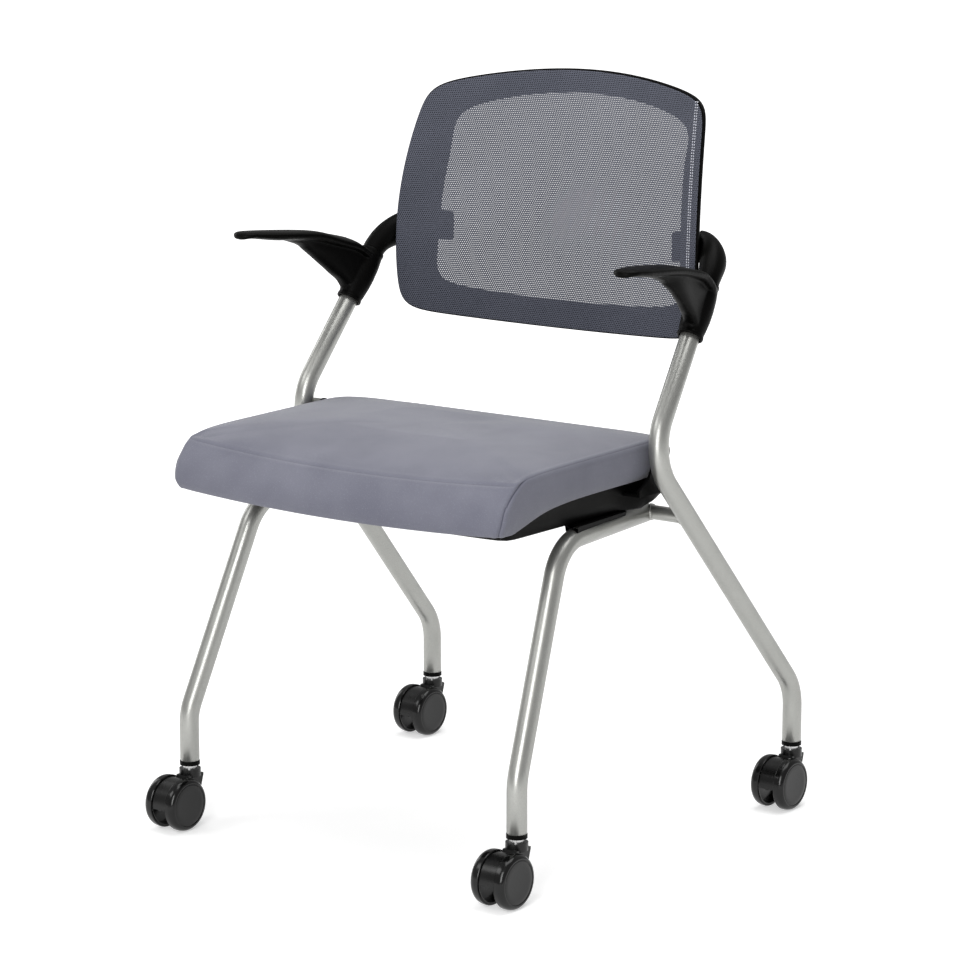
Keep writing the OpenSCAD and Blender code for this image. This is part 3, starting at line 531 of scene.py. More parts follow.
def new_piece(name, bm, body, paint, *stands_for, side=1, sharp=50):
    """An object from a mesh in millimetres. side -1 makes the sitter's right one.

    The piece gets the named paint as its material."""
    bmesh.ops.scale(bm, vec=(side * MM, MM, MM), verts=bm.verts)
    if side < 0:
        bmesh.ops.reverse_faces(bm, faces=bm.faces)
    mesh = bpy.data.meshes.new(name)
    bm.to_mesh(mesh)
    bm.free()
    mesh.shade_smooth()
    mesh.set_sharp_from_angle(angle=math.radians(sharp))
    piece = bpy.data.objects.new(name, mesh)
    scene.collection.objects.link(piece)
    mesh.materials.append(PAINTS[paint])
    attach(piece, body)
    if stands_for:
        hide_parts(*stands_for)
    return piece


def fixed(piece, *modifiers):
    """The piece's mesh with the modifiers applied"""
    for kind, settings in modifiers:
        modifier = piece.modifiers.new(kind.lower(), kind)
        for setting, value in settings.items():
            setattr(modifier, setting, value)
    bpy.context.view_layer.update()
    finished = piece.evaluated_get(bpy.context.evaluated_depsgraph_get())
    mesh = bpy.data.meshes.new_from_object(finished)
    mesh.name = piece.name
    piece.modifiers.clear()
    piece.data = mesh
    mesh.shade_smooth()
    return piece


# Frame tubes, with the welds where they meet

bar_sides = 40


def bar_weld(tube_at, tube_direction, facing):
    """The line where the cross bar meets a leg's tube"""
    line = []
    for a in turns(bar_sides):
        on = spot(0, bar_end.y + bar_r * math.cos(a), bar_end.z + bar_r * math.sin(a))
        to = on - tube_at
        flat = to - tube_direction * to.dot(tube_direction)
        cross = X - tube_direction * X.dot(tube_direction)
        half, off, rest = cross.dot(cross), cross.dot(flat), flat.dot(flat) - tube_r ** 2
        root = math.sqrt(max(off * off - half * rest, 0))
        line.append(on + X * ((-off + facing * root) / half))
    return line


def make_tubes():
    """Side tubes, front legs and the cross bar between them, with weld beads"""
    back_leg = (waist - rear_heel).normalized()
    tube_sides = 48
    leg_bead_r, rail_bead_r = 1.2, 1.5
    for name, side in SIDES.items():
        bm = bmesh.new()
        sweep(bm, bent_path([rear_foot, rear_heel, waist, tube_top], tube_r, bend_r), tube_sides)
        new_piece("tube_" + name, bm, "frame", "silver_coat", "side_tube_" + name, side=side)
        bm = bmesh.new()
        sweep(bm, bent_path([front_foot, front_heel, knee, rail_end], tube_r, bend_r), tube_sides)
        new_piece("leg_" + name, bm, "frame", "silver_coat", "front_leg_" + name, side=side)
        bm = bmesh.new()
        bead(bm, bar_weld(bar_end, back_leg, -1), leg_bead_r)
        for facing in (-1, 1):
            bead(bm, bar_weld(rail_end, rail, facing), rail_bead_r)
        new_piece("welds_" + name, bm, "frame", "silver_coat", side=side)
    bm = bmesh.new()
    inside_tube = tube_r * 0.9
    reach = X * (bar_end.x - inside_tube)
    middle = spot(0, bar_end.y, bar_end.z)
    sweep(bm, [(middle - reach, X, bar_r), (middle + reach, X, bar_r)], bar_sides)
    new_piece("bar", bm, "frame", "silver_coat", "cross_bar")


make_tubes()


# Wheels

def make_wheels():
    """Each wheel turned from a half section of radii and distances from its inner face"""
    shoulder_in, shoulder_w, steps = 5.1, 7.9, 10
    inner_face = [(3.1, 8.6), (3.1, 0.3), (3.4, 0), (6.9, 0), (7.3, 0.4), (7.7, 6.9), (24.6, 6.9),
                  (26.6, 0.3), (27.2, 0), (28.8, 0), (29.6, 0.3), (wheel_r, 1.0)]
    outer_face = [(24.4, 11.9), (24.1, 11.5), (23.9, 11.3), (23.6, 11.35), (23.3, 11.6), (22.8, 11.75),
                  (18, 11.6), (9, 11.45), (0.01, 11.4)]
    shoulders = []
    for i in range(steps + 1):
        a = math.pi / 2 * i / steps
        shoulders.append((wheel_r - shoulder_in + shoulder_in * math.cos(a),
                          wheel_w - shoulder_w + shoulder_w * math.sin(a)))
    onto_x = Matrix.Rotation(math.pi / 2, 3, "Y")
    for corner, (x, y) in caster_places.items():
        outward = 1 if x > 0 else -1
        for name, facing in (("inner", -outward), ("outer", outward)):
            bm = bmesh.new()
            lathe(bm, inner_face + shoulders + outer_face)
            bmesh.ops.rotate(bm, verts=bm.verts, cent=(0, 0, 0), matrix=onto_x)
            bmesh.ops.translate(bm, verts=bm.verts, vec=(wheel_gap / 2, 0, 0))
            if facing < 0:
                bmesh.ops.scale(bm, verts=bm.verts, vec=(-1, 1, 1))
                bmesh.ops.reverse_faces(bm, faces=bm.faces)
            bmesh.ops.translate(bm, verts=bm.verts, vec=(x, y - caster_trail, wheel_r))
            new_piece(f"wheel_{corner}_{name}", bm, f"{corner}_{name}", "wheel_plastic",
                      f"{corner}_{name}_wheel", sharp=28)


make_wheels()


# Back: a dished border, the knit over it and the two supports behind

back_half_w, widest_z, back_side_r = 213.6, 630, 900
back_low_z, back_top_z = 543, 838
back_mid_z = (back_low_z + back_top_z) / 2
top_corner_fall, low_corner_rise = 24, 8
lumbar_z, back_curve_r, back_hollow = 622, 430, 26
back_front_y = 129.3
back_corner_n, back_places = 15, 220  # how full the corners are, and the places round the edge
border_section = [(0, 2.2), (0, 7), (10, 10.5), (38, 24), (38, 20.5), (12, 6), (4, 3)]
border_round = 1.6
low_slimmer, top_slimmer, side_fuller = 0.20, 0.26, 0.11
mesh_inset, hem_depth, knit_depth = 1.8, 0.9, 0.2
knit_shares = [1, 0.994, 0.985, 0.97, 0.95, 0.92, 0.88, 0.83, 0.76, 0.68, 0.58, 0.47, 0.35, 0.22, 0.1]
lug_x, lug_z, lug_w, lug_t, lug_half_h, lug_depth, lug_round = 158.38, 650, 28, 7, 16.5, 30, 2


def back_half(z):
    """Half the back's width at a height"""
    return back_half_w - (z - widest_z) ** 2 / (2 * back_side_r)


def back_y(x, z):
    """The dish of the back: hollow across, and curved up and down"""
    return (back_front_y + (z - lumbar_z) ** 2 / (2 * back_curve_r)
            + back_hollow * (1 - (x / back_half(z)) ** 2))


lug_back_y = back_y(lug_x + lug_w / 2, lug_z) + lug_depth


def back_point(place, inset, depth, share=1):
    """A place of the square outline put on the dish, inset from its edge and depth behind it"""
    if place[1] > 0:
        edge = back_top_z - top_corner_fall * place[0] ** 2 - back_mid_z
    else:
        edge = back_mid_z - back_low_z - low_corner_rise * place[0] ** 2
    z = back_mid_z + place[1] * share * (edge - inset)
    x = place[0] * share * (back_half(z) - inset)
    return spot(x, back_y(x, z) + depth, z)


def full_outline(low_n, high_n, fine=120):
    """Places round a square from -1 to 1, its corners fuller with a greater exponent"""
    def quarter(n):
        top = 2 ** (-1 / n)
        run = [((1 - f ** n) ** (1 / n), f) for f in [top * i / fine for i in range(fine + 1)]]
        return run[:-1] + [(f, g) for g, f in reversed(run)][:-1]

    high, low = quarter(high_n), quarter(low_n)
    return high + [(-q, p) for p, q in high] + [(-p, -q) for p, q in low] + [(q, -p) for p, q in low]


def spaced(places, count, where, weight=lambda at: 1):
    """So many places, evenly along the line that where gives and closer where weight is more"""
    at = [where(p) for p in places]
    steps = []
    for i, here in enumerate(at):
        ahead = at[(i + 1) % len(at)]
        steps.append((ahead - here).length * weight((here + ahead) / 2))
    whole = sum(steps)
    made, run, i = [], 0, 0
    for k in range(count):
        target = whole * k / count
        while run + steps[i] < target:
            run += steps[i]
            i += 1
        share = (target - run) / steps[i]
        a, b = places[i], places[(i + 1) % len(places)]
        made.append((a[0] + (b[0] - a[0]) * share, a[1] + (b[1] - a[1]) * share))
    return made


def height_along(z):
    """Length of the back's curve from its foremost height"""
    u = z - lumbar_z
    slope = u / back_curve_r
    return (u * math.sqrt(1 + slope * slope) + back_curve_r * math.asinh(slope)) / 2


def paint_places(mesh, layer, place):
    """A UV map in metres from a function of a corner's place and its face's normal"""
    uv = mesh.uv_layers.new(name=layer)
    for face in mesh.polygons:
        for loop in face.loop_indices:
            at = mesh.vertices[mesh.loops[loop].vertex_index].co
            uv.data[loop].uv = place(at, face.normal)


def make_border(places):
    """The section carried round the outline, slimmer at top and bottom, and the two lugs behind"""
    bm = bmesh.new()
    section = filleted(border_section, border_round)
    rings = []
    for p in places:
        share = (1 - low_slimmer * max(0, -p[1]) ** 4 - top_slimmer * max(0, p[1]) ** 4
                 + side_fuller * p[0] ** 4)
        rings.append([back_point(p, s[0] * share, s[1]) for s in section])
    loft(bm, rings, closed=True)
    for side in SIDES.values():
        low = spot(lug_x, lug_back_y - lug_t, lug_z - lug_half_h)
        high = spot(lug_x + lug_w, lug_back_y, lug_z + lug_half_h)
        if side < 0:
            low[0], high[0] = -high[0], -low[0]
        block(bm, low, high, lug_round)
    new_piece("back_border", bm, "frame", "black_plastic", "back_frame", sharp=60)


def make_knit(places):
    """The knit in rings from its hem inward, with one face in the middle"""
    bm = bmesh.new()
    loft(bm, [[back_point(p, mesh_inset, hem_depth if share == 1 else knit_depth, share) for p in places]
              for share in knit_shares], caps=False)
    within = 40
    bmesh.ops.contextual_create(bm, geom=[v for v in bm.verts if v.is_boundary and abs(v.co.x) < within
                                          and abs(v.co.z - back_mid_z) < within])
    bmesh.ops.recalc_face_normals(bm, faces=bm.faces)
    if sum(f.normal.y for f in bm.faces) > 0:
        bmesh.ops.reverse_faces(bm, faces=bm.faces)
    knit = new_piece("back_knit", bm, "frame", "back_net", "back_mesh")
    paint_places(knit.data, "knit", lambda at, normal: (at.x, height_along(at.z / MM) * MM))
    hem = knit.data.attributes.new("hem", "FLOAT", "POINT")
    for i in range(len(knit.data.vertices)):
        hem.data[i].value = 1.0 if i < len(places) else 0.0
    return knit


def make_stitches():
    """Two rows of stitches along the sitter's left edge of the knit"""
    pairs, low_z, high_z = 82, 566, 812
    rows_in, ahead_by = (14.2, 11.2), 3
    thick, flat, half_len = 0.72, 0.5, 1.0
    bm = bmesh.new()
    for i in range(2 * pairs):
        z = low_z + (high_z - low_z) * (i // 2) / (pairs - 1)
        x = back_half(z) - rows_in[i % 2]
        here, ahead = [spot(x, back_y(x, z + up) - 0.2, z + up) for up in (0, ahead_by)]
        stitch = bmesh.ops.create_uvsphere(bm, u_segments=8, v_segments=5, radius=1)["verts"]
        turn = (ahead - here).to_track_quat("Z", "Y").to_matrix().to_4x4()
        bmesh.ops.scale(bm, verts=stitch, vec=(thick, flat, half_len))
        bmesh.ops.transform(bm, verts=stitch, matrix=Matrix.Translation(here) @ turn)
    return new_piece("back_stitches", bm, "frame", "thread")


def make_back():
    """Border, knit and stitches on one dish"""
    outline = full_outline(back_corner_n, back_corner_n)
    places = spaced(outline, back_places, lambda p: back_point(p, 0, 0))
    make_border(places)
    knit = make_knit(places)
    stitches = make_stitches()


make_back()


def make_supports():
    """An elbow on each side, from the sleeve's top to a plate behind the lug"""
    joint, steps, sides = 0.1, 40, 40
    spigot_r, end_half_h, end_half_w, elbow_fuller = 13, 17.5, 6.5, 3.4
    plate_w, plate_t, plate_round = 34, 5, 1.6
    plate_y = lug_back_y + joint
    start = sleeve_top + arm_axis * joint
    end_along, end_up = 33, 2
    end = spot(lug_x + end_along, plate_y + end_half_w, lug_z + end_up)
    leave_by, arrive_from = arm_axis * 28, spot(30, -16, 4)
    control = (start, start + leave_by, end + arrive_from, end)

    def at(t):
        """A place on the elbow's curve"""
        a, b, c, d = control
        return a * (1 - t) ** 3 + b * 3 * t * (1 - t) ** 2 + c * 3 * t * t * (1 - t) + d * t ** 3

    for name, side in SIDES.items():
        bm = bmesh.new()
        rings = []
        for i in range(steps + 1):
            t = i / steps
            heading = (at(min(t + 0.01, 1)) - at(max(t - 0.01, 0))).normalized()
            high = (Z - heading * heading.z).normalized()
            wide = heading.cross(high)
            full = elbow_fuller * math.sin(math.pi * t) ** 2
            h = spigot_r + (end_half_h - spigot_r) * t * t + full
            w = spigot_r + (end_half_w - spigot_r) * t * t + full
            rings.append([at(t) + high * (h * math.cos(a) - full) + wide * w * math.sin(a)
                          for a in turns(sides)])
        loft(bm, rings)
        block(bm, spot(lug_x, plate_y, lug_z - lug_half_h),
              spot(lug_x + plate_w, plate_y + plate_t, lug_z + lug_half_h), plate_round)
        new_piece("support_" + name, bm, "frame", "black_plastic", "back_support_" + name, side=side)


make_supports()


# Arms: a thin pad on a web that grows out of a sleeve

tip_y, tip_x, tip_r = -88.5, 265, 16
pad_end_y = 119
pad_t, pad_fuller = 8, 3.5
pad_sides, web_sides, sleeve_sides = 40, 32, 48
# y of a station, then x of the pad's inner and outer edge
pad_edges = [(-72.5, 249, 281), (-55, 241, 281), (-33.6, 236, 278.5), (6.3, 233, 273), (42.8, 229, 267),
             (70, 226, 263), (84, 224, 260.5), (100, 224, 257.6), (110, 225, 255), (119, 226, 250)]
# y of a station, then z of the pad's top
pad_tops = [(-88.5, 657), (-82, 658.6), (-70, 658.8), (-40, 657.2), (0, 654), (30, 650.6), (60, 645.4),
            (70, 643.4), (84, 640.2), (90, 637.4), (95, 634.3), (100, 631), (105, 627), (110, 622.8),
            (119, 617.5)]
# z of a level, then y of the web's front and rear edge
web_fronts = [(574, 78), (583, 71.5), (590, 65.5), (598, 55), (606, 45.5), (614, 35), (622, 24.5),
              (630, 12.5), (636, 4), (640, -8), (645, -26), (650, -52)]
web_rears = [(574, 85), (600, 103.7), (617, 114), (624, 106), (631, 96), (636, 84), (641, 66), (646, 36),
             (650, 0)]
web_low_z, web_top_z, web_half_t = 574, 650, 10
web_x, web_x_shift, lean_from_x = 254, 14, 258
# radius and height along the sleeve
sleeve_section = [(12.2, 0), (14.4, 0), (15, 0.8), (15, 3.6), (14.2, 5), (15.2, 12), (16.3, 24),
                  (16.5, 36), (15.8, 50), (14.4, 60.5), (13.8, 62.4), (14.5, 63.8), (14.5, 67.2),
                  (13.8, 68), (12.2, 68), (12.2, 67), (12.2, 1)]


def arm_lean(y):
    """How steeply the arm's top falls inward"""
    return 0.17 * eased((y - 15) / 60)


def pad_rings():
    """The pad, from its round tip to its tail, thickest in the middle"""
    flat_y = tip_y + tip_r
    tip_steps, steps = 9, 42
    stations = [tip_y + tip_r * (1 - math.cos(math.pi / 2 * i / tip_steps)) for i in range(1, tip_steps)]
    stations += [flat_y + i * (pad_end_y - flat_y) / steps for i in range(steps + 1)]
    rings = []
    for y in stations:
        if y < flat_y:
            half = math.sqrt(tip_r ** 2 - (flat_y - y) ** 2)
            low, high = tip_x - half, tip_x + half
        else:
            low, high = along(pad_edges, y)[:2]
        top = along(pad_tops, y)
        thick = (pad_t + pad_fuller * eased((y + 85) / 50)) * min(1, 0.6 + (y - tip_y) / 7)
        lean = arm_lean(y) + 0.08 * eased((y - 70) / 25)
        ring = []
        for a in turns(pad_sides):
            x = (low + high) / 2 + (high - low) / 2 * power(math.cos(a), 0.75)
            z = top - lean * (high - x) - thick / 2 + thick / 2 * power(math.sin(a), 0.8)
            ring.append(spot(x, y, z))
        rings.append(ring)
    return rings


def web_rings():
    """The web, from inside the sleeve up into the pad"""
    steps = 24
    rings = []
    for i in range(steps + 1):
        z = web_low_z + (web_top_z - web_low_z) * i / steps
        front, back = along(web_fronts, z), along(web_rears, z)
        middle, half = (front + back) / 2, (back - front) / 2
        ring = []
        for a in turns(web_sides):
            y = middle + half * power(math.cos(a), 0.6)
            x = web_x - web_x_shift * eased((y - 20) / 85)
            fall = arm_lean(y) * max(0, lean_from_x - x) * eased((z - 615) / 20)
            ring.append(spot(x + web_half_t * power(math.sin(a), 0.8), y, z - fall))
        rings.append(ring)
    return rings


def sleeve_rings():
    """The sleeve's section, inside and out, as rings round the post"""
    across = arm_axis.cross(X).normalized()
    beside = arm_axis.cross(across)
    return [[shoulder + arm_axis * h + (across * math.cos(a) + beside * math.sin(a)) * r
             for a in turns(sleeve_sides)] for r, h in sleeve_section]


def make_arms():
    """Pad, web and sleeve grown into one skin"""
    for name, side in SIDES.items():
        bm = bmesh.new()
        loft(bm, pad_rings())
        loft(bm, web_rings())
        loft(bm, sleeve_rings(), closed=True)
        arm = new_piece("arm_" + name + "_moulding", bm, "frame", "black_plastic", "arm_" + name,
                        side=side)
        fixed(arm, ("REMESH", {"mode": "VOXEL", "voxel_size": 1.1 * MM}),
              ("SMOOTH", {"factor": 0.5, "iterations": 7}))


make_arms()


# Seat: the cushion with its seams, and the pan under it

seat_half, seat_front_y, seat_rear_y, pivot_y, pivot_z = 228, -219.7, 91.3, 24.3, 448
seat_mid_y, seat_half_len = (seat_front_y + seat_rear_y) / 2, (seat_rear_y - seat_front_y) / 2
seam_side_z, seam_front_z, board_top_z, crown_h = 456.5, 445, 415, 11
front_bow, front_dip, rear_drop = 8, 8, 10
front_n, rear_n = 48, 7  # how full the outline's corners are
seam_r = 20
under_in, under_front_in, under_lift = 14, 38, 0.3
seat_places = 132
# shares of the way from the middle to the edge, or from one edge to the next, at which rings lie
under_shares, fold_shares = (0.2, 0.5, 0.8, 0.94, 1), (0.35, 0.7)
side_shares = (0, 0.05, 0.12, 0.2, 0.3, 0.42, 0.54, 0.65, 0.75, 0.83, 0.9, 0.95, 0.98)
crown_shares = (1, 0.992, 0.975, 0.95, 0.91, 0.86, 0.8, 0.72, 0.62, 0.5, 0.36, 0.2, 0.08)
# share of the side's height, then how far it stands out at the sides and at the front
sides_out = [(0, -4, 22), (0.1, -0.6, 25.2), (0.22, 2.0, 26.1), (0.55, 3, 20.8), (0.85, 1.8, 9.2),
             (1, 0, 0)]
# y of a station, then z of the cushion's lower edge
low_edge = [(-220, 392), (-200, 397.5), (-180, 403.5), (-160, 408), (-129, 411.3), (-96, 413),
            (-35, 414.3), (30, 415.2), (91, 415.5)]
low_edge_dip = 6


def front_share(p):
    """How far to the front a place of the outline lies"""
    return max(0, -p[1])


def seat_spot(p, side, front, rear, share=1):
    """x and y of a place of the outline, moved in from the side, front or rear edge"""
    return (p[0] * share * (seat_half - side),
            seat_mid_y + p[1] * share * (seat_half_len - (front if p[1] < 0 else rear))
            - front_bow * (1 - p[0] ** 2) * front_share(p) * share * share)


def seam_z(y):
    """Height of the top seam, which falls to the rear and turns down at the front"""
    if y > pivot_y:
        return seam_side_z - rear_drop * ((y - pivot_y) / (seat_rear_y - pivot_y)) ** 2
    u = min(1, (pivot_y - y) / (pivot_y - seat_front_y))
    return seam_side_z - (seam_side_z - seam_front_z) * (0.4 * u + 0.6 * u ** 12)


def crown_spot(p, share):
    """A place on the cushion's top, from its middle to the seam"""
    x, y = seat_spot(p, 0, 0, 0, share)
    dip = front_dip * (1 - p[0] ** 2) * front_share(p) * share * share
    return spot(x, y, seam_z(y) - dip + crown_h * (1 - share ** 5))


def low_z(p, y):
    """Height of the cushion's lower edge, which dips in the middle of the front"""
    return along(low_edge, y) - low_edge_dip * (1 - p[0] ** 2) * front_share(p)


def side_spot(p, t):
    """A place on the cushion's side, from its lower edge to the seam"""
    both = along(sides_out, t)
    x, y = seat_spot(p, -both[0], -both[1], -both[0])
    _, edge_out, edge_front_out = sides_out[0]
    low = low_z(p, seat_spot(p, -edge_out, -edge_front_out, -edge_out)[1])
    return spot(x, y, low + (crown_spot(p, 1).z - low) * t)


def under_spot(p, share=1):
    """A place under the cushion, just above the board"""
    x, y = seat_spot(p, under_in, under_front_in, under_in, share)
    return spot(x, y, board_top_z + under_lift)


def near_corner(at):
    """More places close to the front corners, where the side seams turn down"""
    reach, more = 26, 4
    off = math.hypot(abs(at.x) - seat_half, at.y - seat_front_y)
    return 1 + more * math.exp(-(off / reach) ** 2)


def seam_lines(corner):
    """Places along the hard seams, round the top edge and down the corners, and the soft front one"""
    hard, soft = [], []
    for p in full_outline(front_n, rear_n, 700):
        at = crown_spot(p, 1)
        if p[1] > 0 or at.y - seat_front_y > seam_r:
            hard.append(at)
        elif abs(p[0]) < 0.985:
            soft.append(at)
    steps, end_in = 120, 3
    for side in SIDES.values():
        deep = crown_spot(corner, 1).z - side_spot(corner, 0).z
        for i in range(steps + 1):
            a = math.pi / 2 * i / steps
            y = seat_front_y + end_in + (seam_r - end_in) * (1 - math.sin(a))
            ahead = (y - seat_mid_y) / seat_half_len
            p = (side * min(1, (1 - abs(ahead) ** front_n) ** (1 / front_n)), ahead)
            hard.append(side_spot(p, 1 - seam_r * (1 - math.cos(a)) / deep))
        for i in range(steps + 1):
            p = (side * corner[0], corner[1])
            hard.append(side_spot(p, (1 - seam_r / deep) * (1 - i / steps)))
    return hard, soft


def swell(piece, held, pressure, most):
    """Cloth with air in it. The held corners stay, and no other moves further than most."""
    last_frame = 20
    start = [v.co.copy() for v in piece.data.vertices]
    group = piece.vertex_groups.new(name="held")
    group.add(held, 1.0, "REPLACE")
    cloth = piece.modifiers.new("cloth", "CLOTH")
    cloth.settings.quality = 5
    cloth.settings.use_pressure = True
    cloth.settings.uniform_pressure_force = pressure
    cloth.settings.vertex_group_mass = "held"
    cloth.settings.effector_weights.gravity = 0
    cloth.collision_settings.use_collision = False
    cloth.point_cache.frame_start, cloth.point_cache.frame_end = 1, last_frame
    for frame_number in range(1, last_frame + 1):
        scene.frame_set(frame_number)
    fixed(piece)
    piece.vertex_groups.clear()
    scene.frame_set(1)
    for vert, before in zip(piece.data.vertices, start):
        moved = vert.co - before
        if moved.length > most:
            vert.co = before + moved.normalized() * most


def sink_seams(mesh, lines):
    """Grooves along the hard and the soft lines, with a slight puff beside them, and a seam share that
    the fabric paint turns into painted shade along them
    """
    hard_w, hard_depth, soft_w, soft_depth, soft_dark = 1.5, 1.1, 1.7, 0.5, 0.72
    puff_h, puff_off, puff_w = 0.35, 4.5, 2.4
    trees = []
    for line in lines:
        tree = kdtree.KDTree(len(line))
        for i, at in enumerate(line):
            tree.insert(at * MM, i)
        tree.balance()
        trees.append(tree)
    seam = mesh.attributes.new("seam", "FLOAT", "POINT")
    normals = [v.normal.copy() for v in mesh.vertices]
    for i, vert in enumerate(mesh.vertices):
        off, soft_off = [tree.find(vert.co)[2] / MM for tree in trees]
        hard, soft = math.exp(-(off / hard_w) ** 2), math.exp(-(soft_off / soft_w) ** 2)
        puff = puff_h * math.exp(-((min(off, soft_off) - puff_off) / puff_w) ** 2)
        vert.co -= normals[i] * (hard_depth * hard + soft_depth * soft - puff) * MM
        # The seam share sets how much painted shade the fabric gets here; the soft seam gets less of it
        seam.data[i].value = max(hard, soft_dark * soft)


def weave(at, normal):
    """Metres along the cloth, taken flat along the axis that the face looks along most"""
    facing = [abs(n) for n in normal]
    if facing[2] == max(facing):
        return at.x, at.y
    return (at.x, at.z) if facing[1] == max(facing) else (at.y, at.z)


def make_cushion():
    """Rings from under the cushion, up its side and over its crown, then swelled and seamed"""
    outline = full_outline(front_n, rear_n)
    places = spaced(outline, seat_places, lambda p: crown_spot(p, 1), near_corner)
    corner = (2 ** (-1 / front_n), -2 ** (-1 / front_n))
    rings = [[under_spot(p, share) for p in places] for share in under_shares]
    for share in fold_shares:
        ring = []
        for p in places:
            a, b = under_spot(p), side_spot(p, 0)
            ring.append(spot(a.x + (b.x - a.x) * share, a.y + (b.y - a.y) * share,
                             a.z + (b.z - a.z) * share ** 0.8))
        rings.append(ring)
    edge_ring = len(rings)
    rings += [[side_spot(p, share) for p in places] for share in side_shares]
    seam_ring = len(rings)
    rings += [[crown_spot(p, share) for p in places] for share in crown_shares]
    bm = bmesh.new()
    loft(bm, rings)
    cushion = new_piece("cushion", bm, "seat", "seat_fabric", "seat_cushion", sharp=180)

    count = len(places)
    held = list(range((edge_ring + 1) * count)) + list(range(seam_ring * count, (seam_ring + 1) * count))
    pressure, most = 4, 2.6 * MM
    swell(cushion, held, pressure, most)
    even = cushion.vertex_groups.new(name="even")
    for i, share in enumerate(crown_shares):
        ring = range((seam_ring + i) * count, (seam_ring + i + 1) * count)
        even.add(list(ring), eased((0.97 - share) / 0.2), "REPLACE")
    fixed(cushion, ("SMOOTH", {"factor": 0.6, "iterations": 70, "vertex_group": "even"}))
    cushion.vertex_groups.clear()
    fixed(cushion, ("SUBSURF", {"levels": 2, "render_levels": 2}))

    sink_seams(cushion.data, seam_lines(corner))
    paint_places(cushion.data, "weave", weave)
    cushion.data.shade_smooth()


make_cushion()


pan_floor_z = 381.3
# for each level, how far in from the seat's side, front and rear edge, and the rise above the floor
pan_levels = [(60, 50, 40, 0), (22, 14, 26, 0), (20, 11, 23, 0.6), (18.6, 9.5, 21.5, 2.4),
              (16, 3, 16, 14), (13.4, -4, 13, 27), (12, -10, 12, 35)]


def make_pan():
    """A tray under the board. Its rear edge keeps clear of the rails as the seat flips up."""
    clear_r, most_half_w, hinge_wider = 63, 225, 11
    corner_n, count = 30, 150
    outline = full_outline(corner_n, corner_n)
    places = spaced(outline, count, lambda p: Vector((*seat_spot(p, 0, 0, 0), 0)))
    rings = []
    for side, front, rear, rise in pan_levels:
        ring = []
        for p in places:
            x, y = seat_spot(p, side, front, rear)
            if abs(p[0]) > 0.9:
                wide = abs(x) + min(side, hinge_wider) * eased((y + 15) / 40)
                x = math.copysign(min(wide, most_half_w), x)
            z = min(pan_floor_z + rise, side_spot(p, 0).z + 1.5)
            off = Vector((0, y - pivot_y, z - pivot_z))
            if off.y > 0 and off.length > clear_r:
                off *= clear_r / off.length
            ring.append(spot(x, pivot_y + off.y, pivot_z + off.z))
        rings.append(ring)
    bm = bmesh.new()
    loft(bm, rings)
    new_piece("pan", bm, "seat", "black_plastic", "seat_pan", sharp=50)


make_pan()


def make_screws():
    """The four screws up through the pan into the board, each a head and a shank"""
    places = ((150, -143.7, pan_floor_z), (110, 30.3, pan_floor_z + 1.1))
    # sides, lower and upper radius, height, and how far up the middle lies
    head, shank = (24, 3.5, 4.5, 2.4, -0.2), (16, 2.5, 2.5, 28, 15)
    bm = bmesh.new()
    for x, y, low in places:
        for side in SIDES.values():
            for sides, low_r, high_r, height, up in (head, shank):
                made = bmesh.ops.create_cone(bm, segments=sides, cap_ends=True, radius1=low_r,
                                             radius2=high_r, depth=height)["verts"]
                bmesh.ops.translate(bm, verts=made, vec=(side * x, y, low + up))
    new_piece("pan_screw_heads", bm, "seat", "steel", "pan_screws", sharp=30)


make_screws()


def make_rests():
    """A low saddle on each rail under the pan, from one place along the rail to another"""
    along_rail, foot_half_w, top_half_w, chamfer = (24, 123), 9.2, 8.2, 1
    saddle = [math.radians(d) for d in range(-48, 49, 4)]
    up = (Z - rail * rail.z).normalized()
    bm = bmesh.new()
    for side in SIDES.values():
        rings = []
        for at in along_rail:
            middle = knee + rail * at
            top = pan_floor_z - middle.z
            outline = [(tube_r - 0.4) * Vector((math.sin(a), math.cos(a))) for a in saddle]
            outline += [Vector((foot_half_w, top - chamfer)), Vector((top_half_w, top)),
                        Vector((-top_half_w, top)), Vector((-foot_half_w, top - chamfer))]
            rings.append([spot(side * (middle.x + p.x), middle.y, middle.z) + spot(0, up.y, up.z) * p.y
                          for p in outline])
        loft(bm, rings)
    bmesh.ops.recalc_face_normals(bm, faces=bm.faces)
    new_piece("rests", bm, "frame", "black_plastic", "rail_rests", sharp=35)


make_rests()


# Floor, backdrop and light

floor_size = 120
floor_glow, glow_from, glow_to = 0.42, 1.1, 3.6
sky_level = 0.42
lit_middle = Vector((0, 0, 0.45))


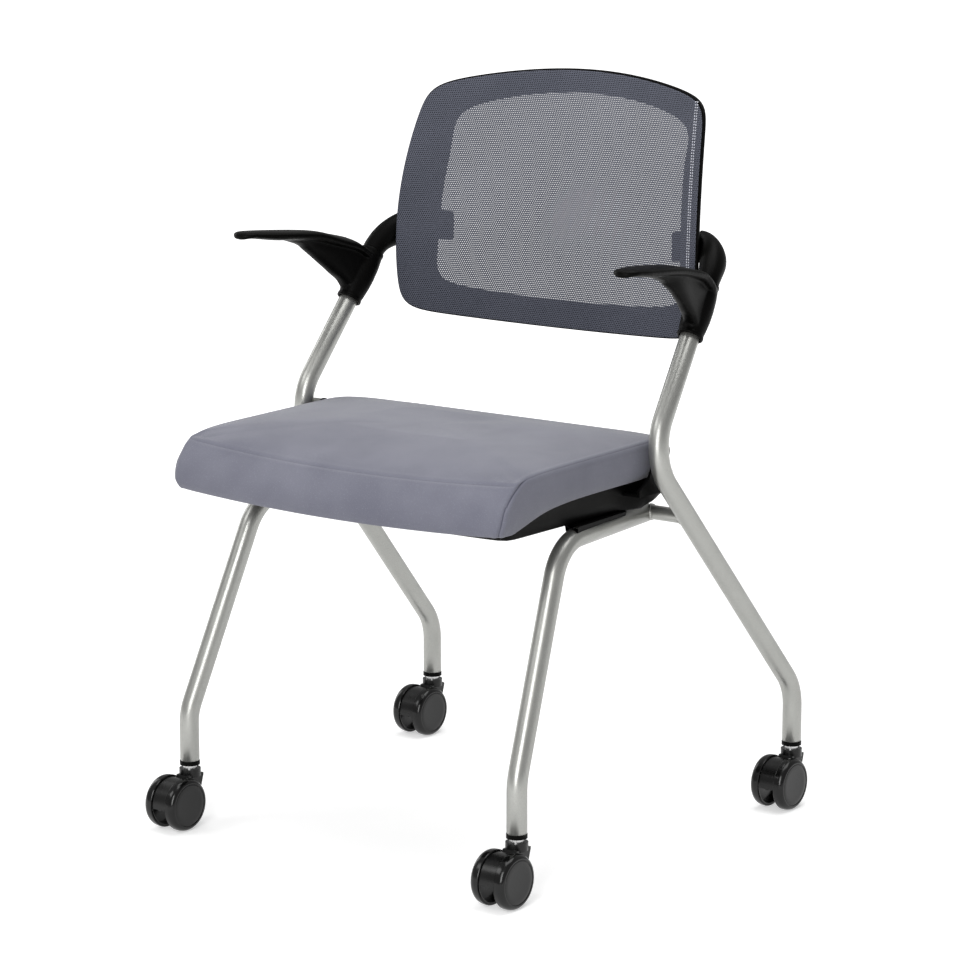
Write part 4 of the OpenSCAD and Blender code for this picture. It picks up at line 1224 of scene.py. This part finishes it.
def stage_paint():
    """White that glows where the camera sees it, less so near the object, so that its shadow shows"""
    paint = Paint("floor", Base_Color=grey(0.80), Roughness=0.9, Specular_IOR_Level=0.0)
    seen, glossy, through = [paint.node("ShaderNodeLightPath", output=f"Is {kind} Ray")
                             for kind in ("Camera", "Glossy", "Transmission")]
    any_ray = paint.math("MAXIMUM", paint.math("MAXIMUM", seen, glossy), through)
    x, y, _ = paint.axes(paint.object_place())
    far = paint.math("SQRT", x * x + y * y)
    level = paint.span(far, glow_from, glow_to, floor_glow, 1.0, smooth=True)
    glow = paint.node("ShaderNodeEmission", {}, {"Strength": any_ray * level})
    both = paint.node("ShaderNodeAddShader", {}, {0: Value(paint, paint.shader.outputs[0]), 1: glow})
    paint.give(paint.tree.nodes["Material Output"].inputs["Surface"], both)
    return paint.material


def make_stage():
    """The floor, and the world's light with its white background"""
    bm = bmesh.new()
    bmesh.ops.create_grid(bm, x_segments=1, y_segments=1, size=floor_size / 2)
    mesh = bpy.data.meshes.new("floor")
    bm.to_mesh(mesh)
    bm.free()
    floor = bpy.data.objects.new("floor", mesh)
    scene.collection.objects.link(floor)
    mesh.materials.append(stage_paint())

    scene.world = bpy.data.worlds.new("studio")
    scene.world.use_nodes = True
    sky = ShaderTree(scene.world.node_tree)
    seen = sky.node("ShaderNodeLightPath", output="Is Camera Ray")
    light = sky.tree.nodes["Background"]
    sky.give(light.inputs["Color"], grey(1.0))
    sky.give(light.inputs["Strength"], sky.span(seen, 0, 1, sky_level, 1.0))


def soft_light(name, place, size, watts):
    """A rectangle of light that faces the middle of the object"""
    data = bpy.data.lights.new(name, "AREA")
    data.shape = "RECTANGLE"
    data.size, data.size_y = size
    data.energy = watts
    lamp = bpy.data.objects.new(name, data)
    scene.collection.objects.link(lamp)
    lamp.location = place
    lamp.rotation_mode = "QUATERNION"
    lamp.rotation_quaternion = (lit_middle - Vector(place)).to_track_quat("-Z", "Y")


make_stage()
soft_light("key", (-1.6, -2.4, 2.6), (1.6, 1.2), 24)
soft_light("front_strip", (1.0, -2.55, 1.3), (0.85, 1.9), 44)
soft_light("top", (0.2, 0.3, 3.2), (2.4, 2.4), 58)
soft_light("left_strip", (-2.8, 0.4, 1.3), (0.8, 2.0), 14)
scene.view_settings.view_transform = "Standard"
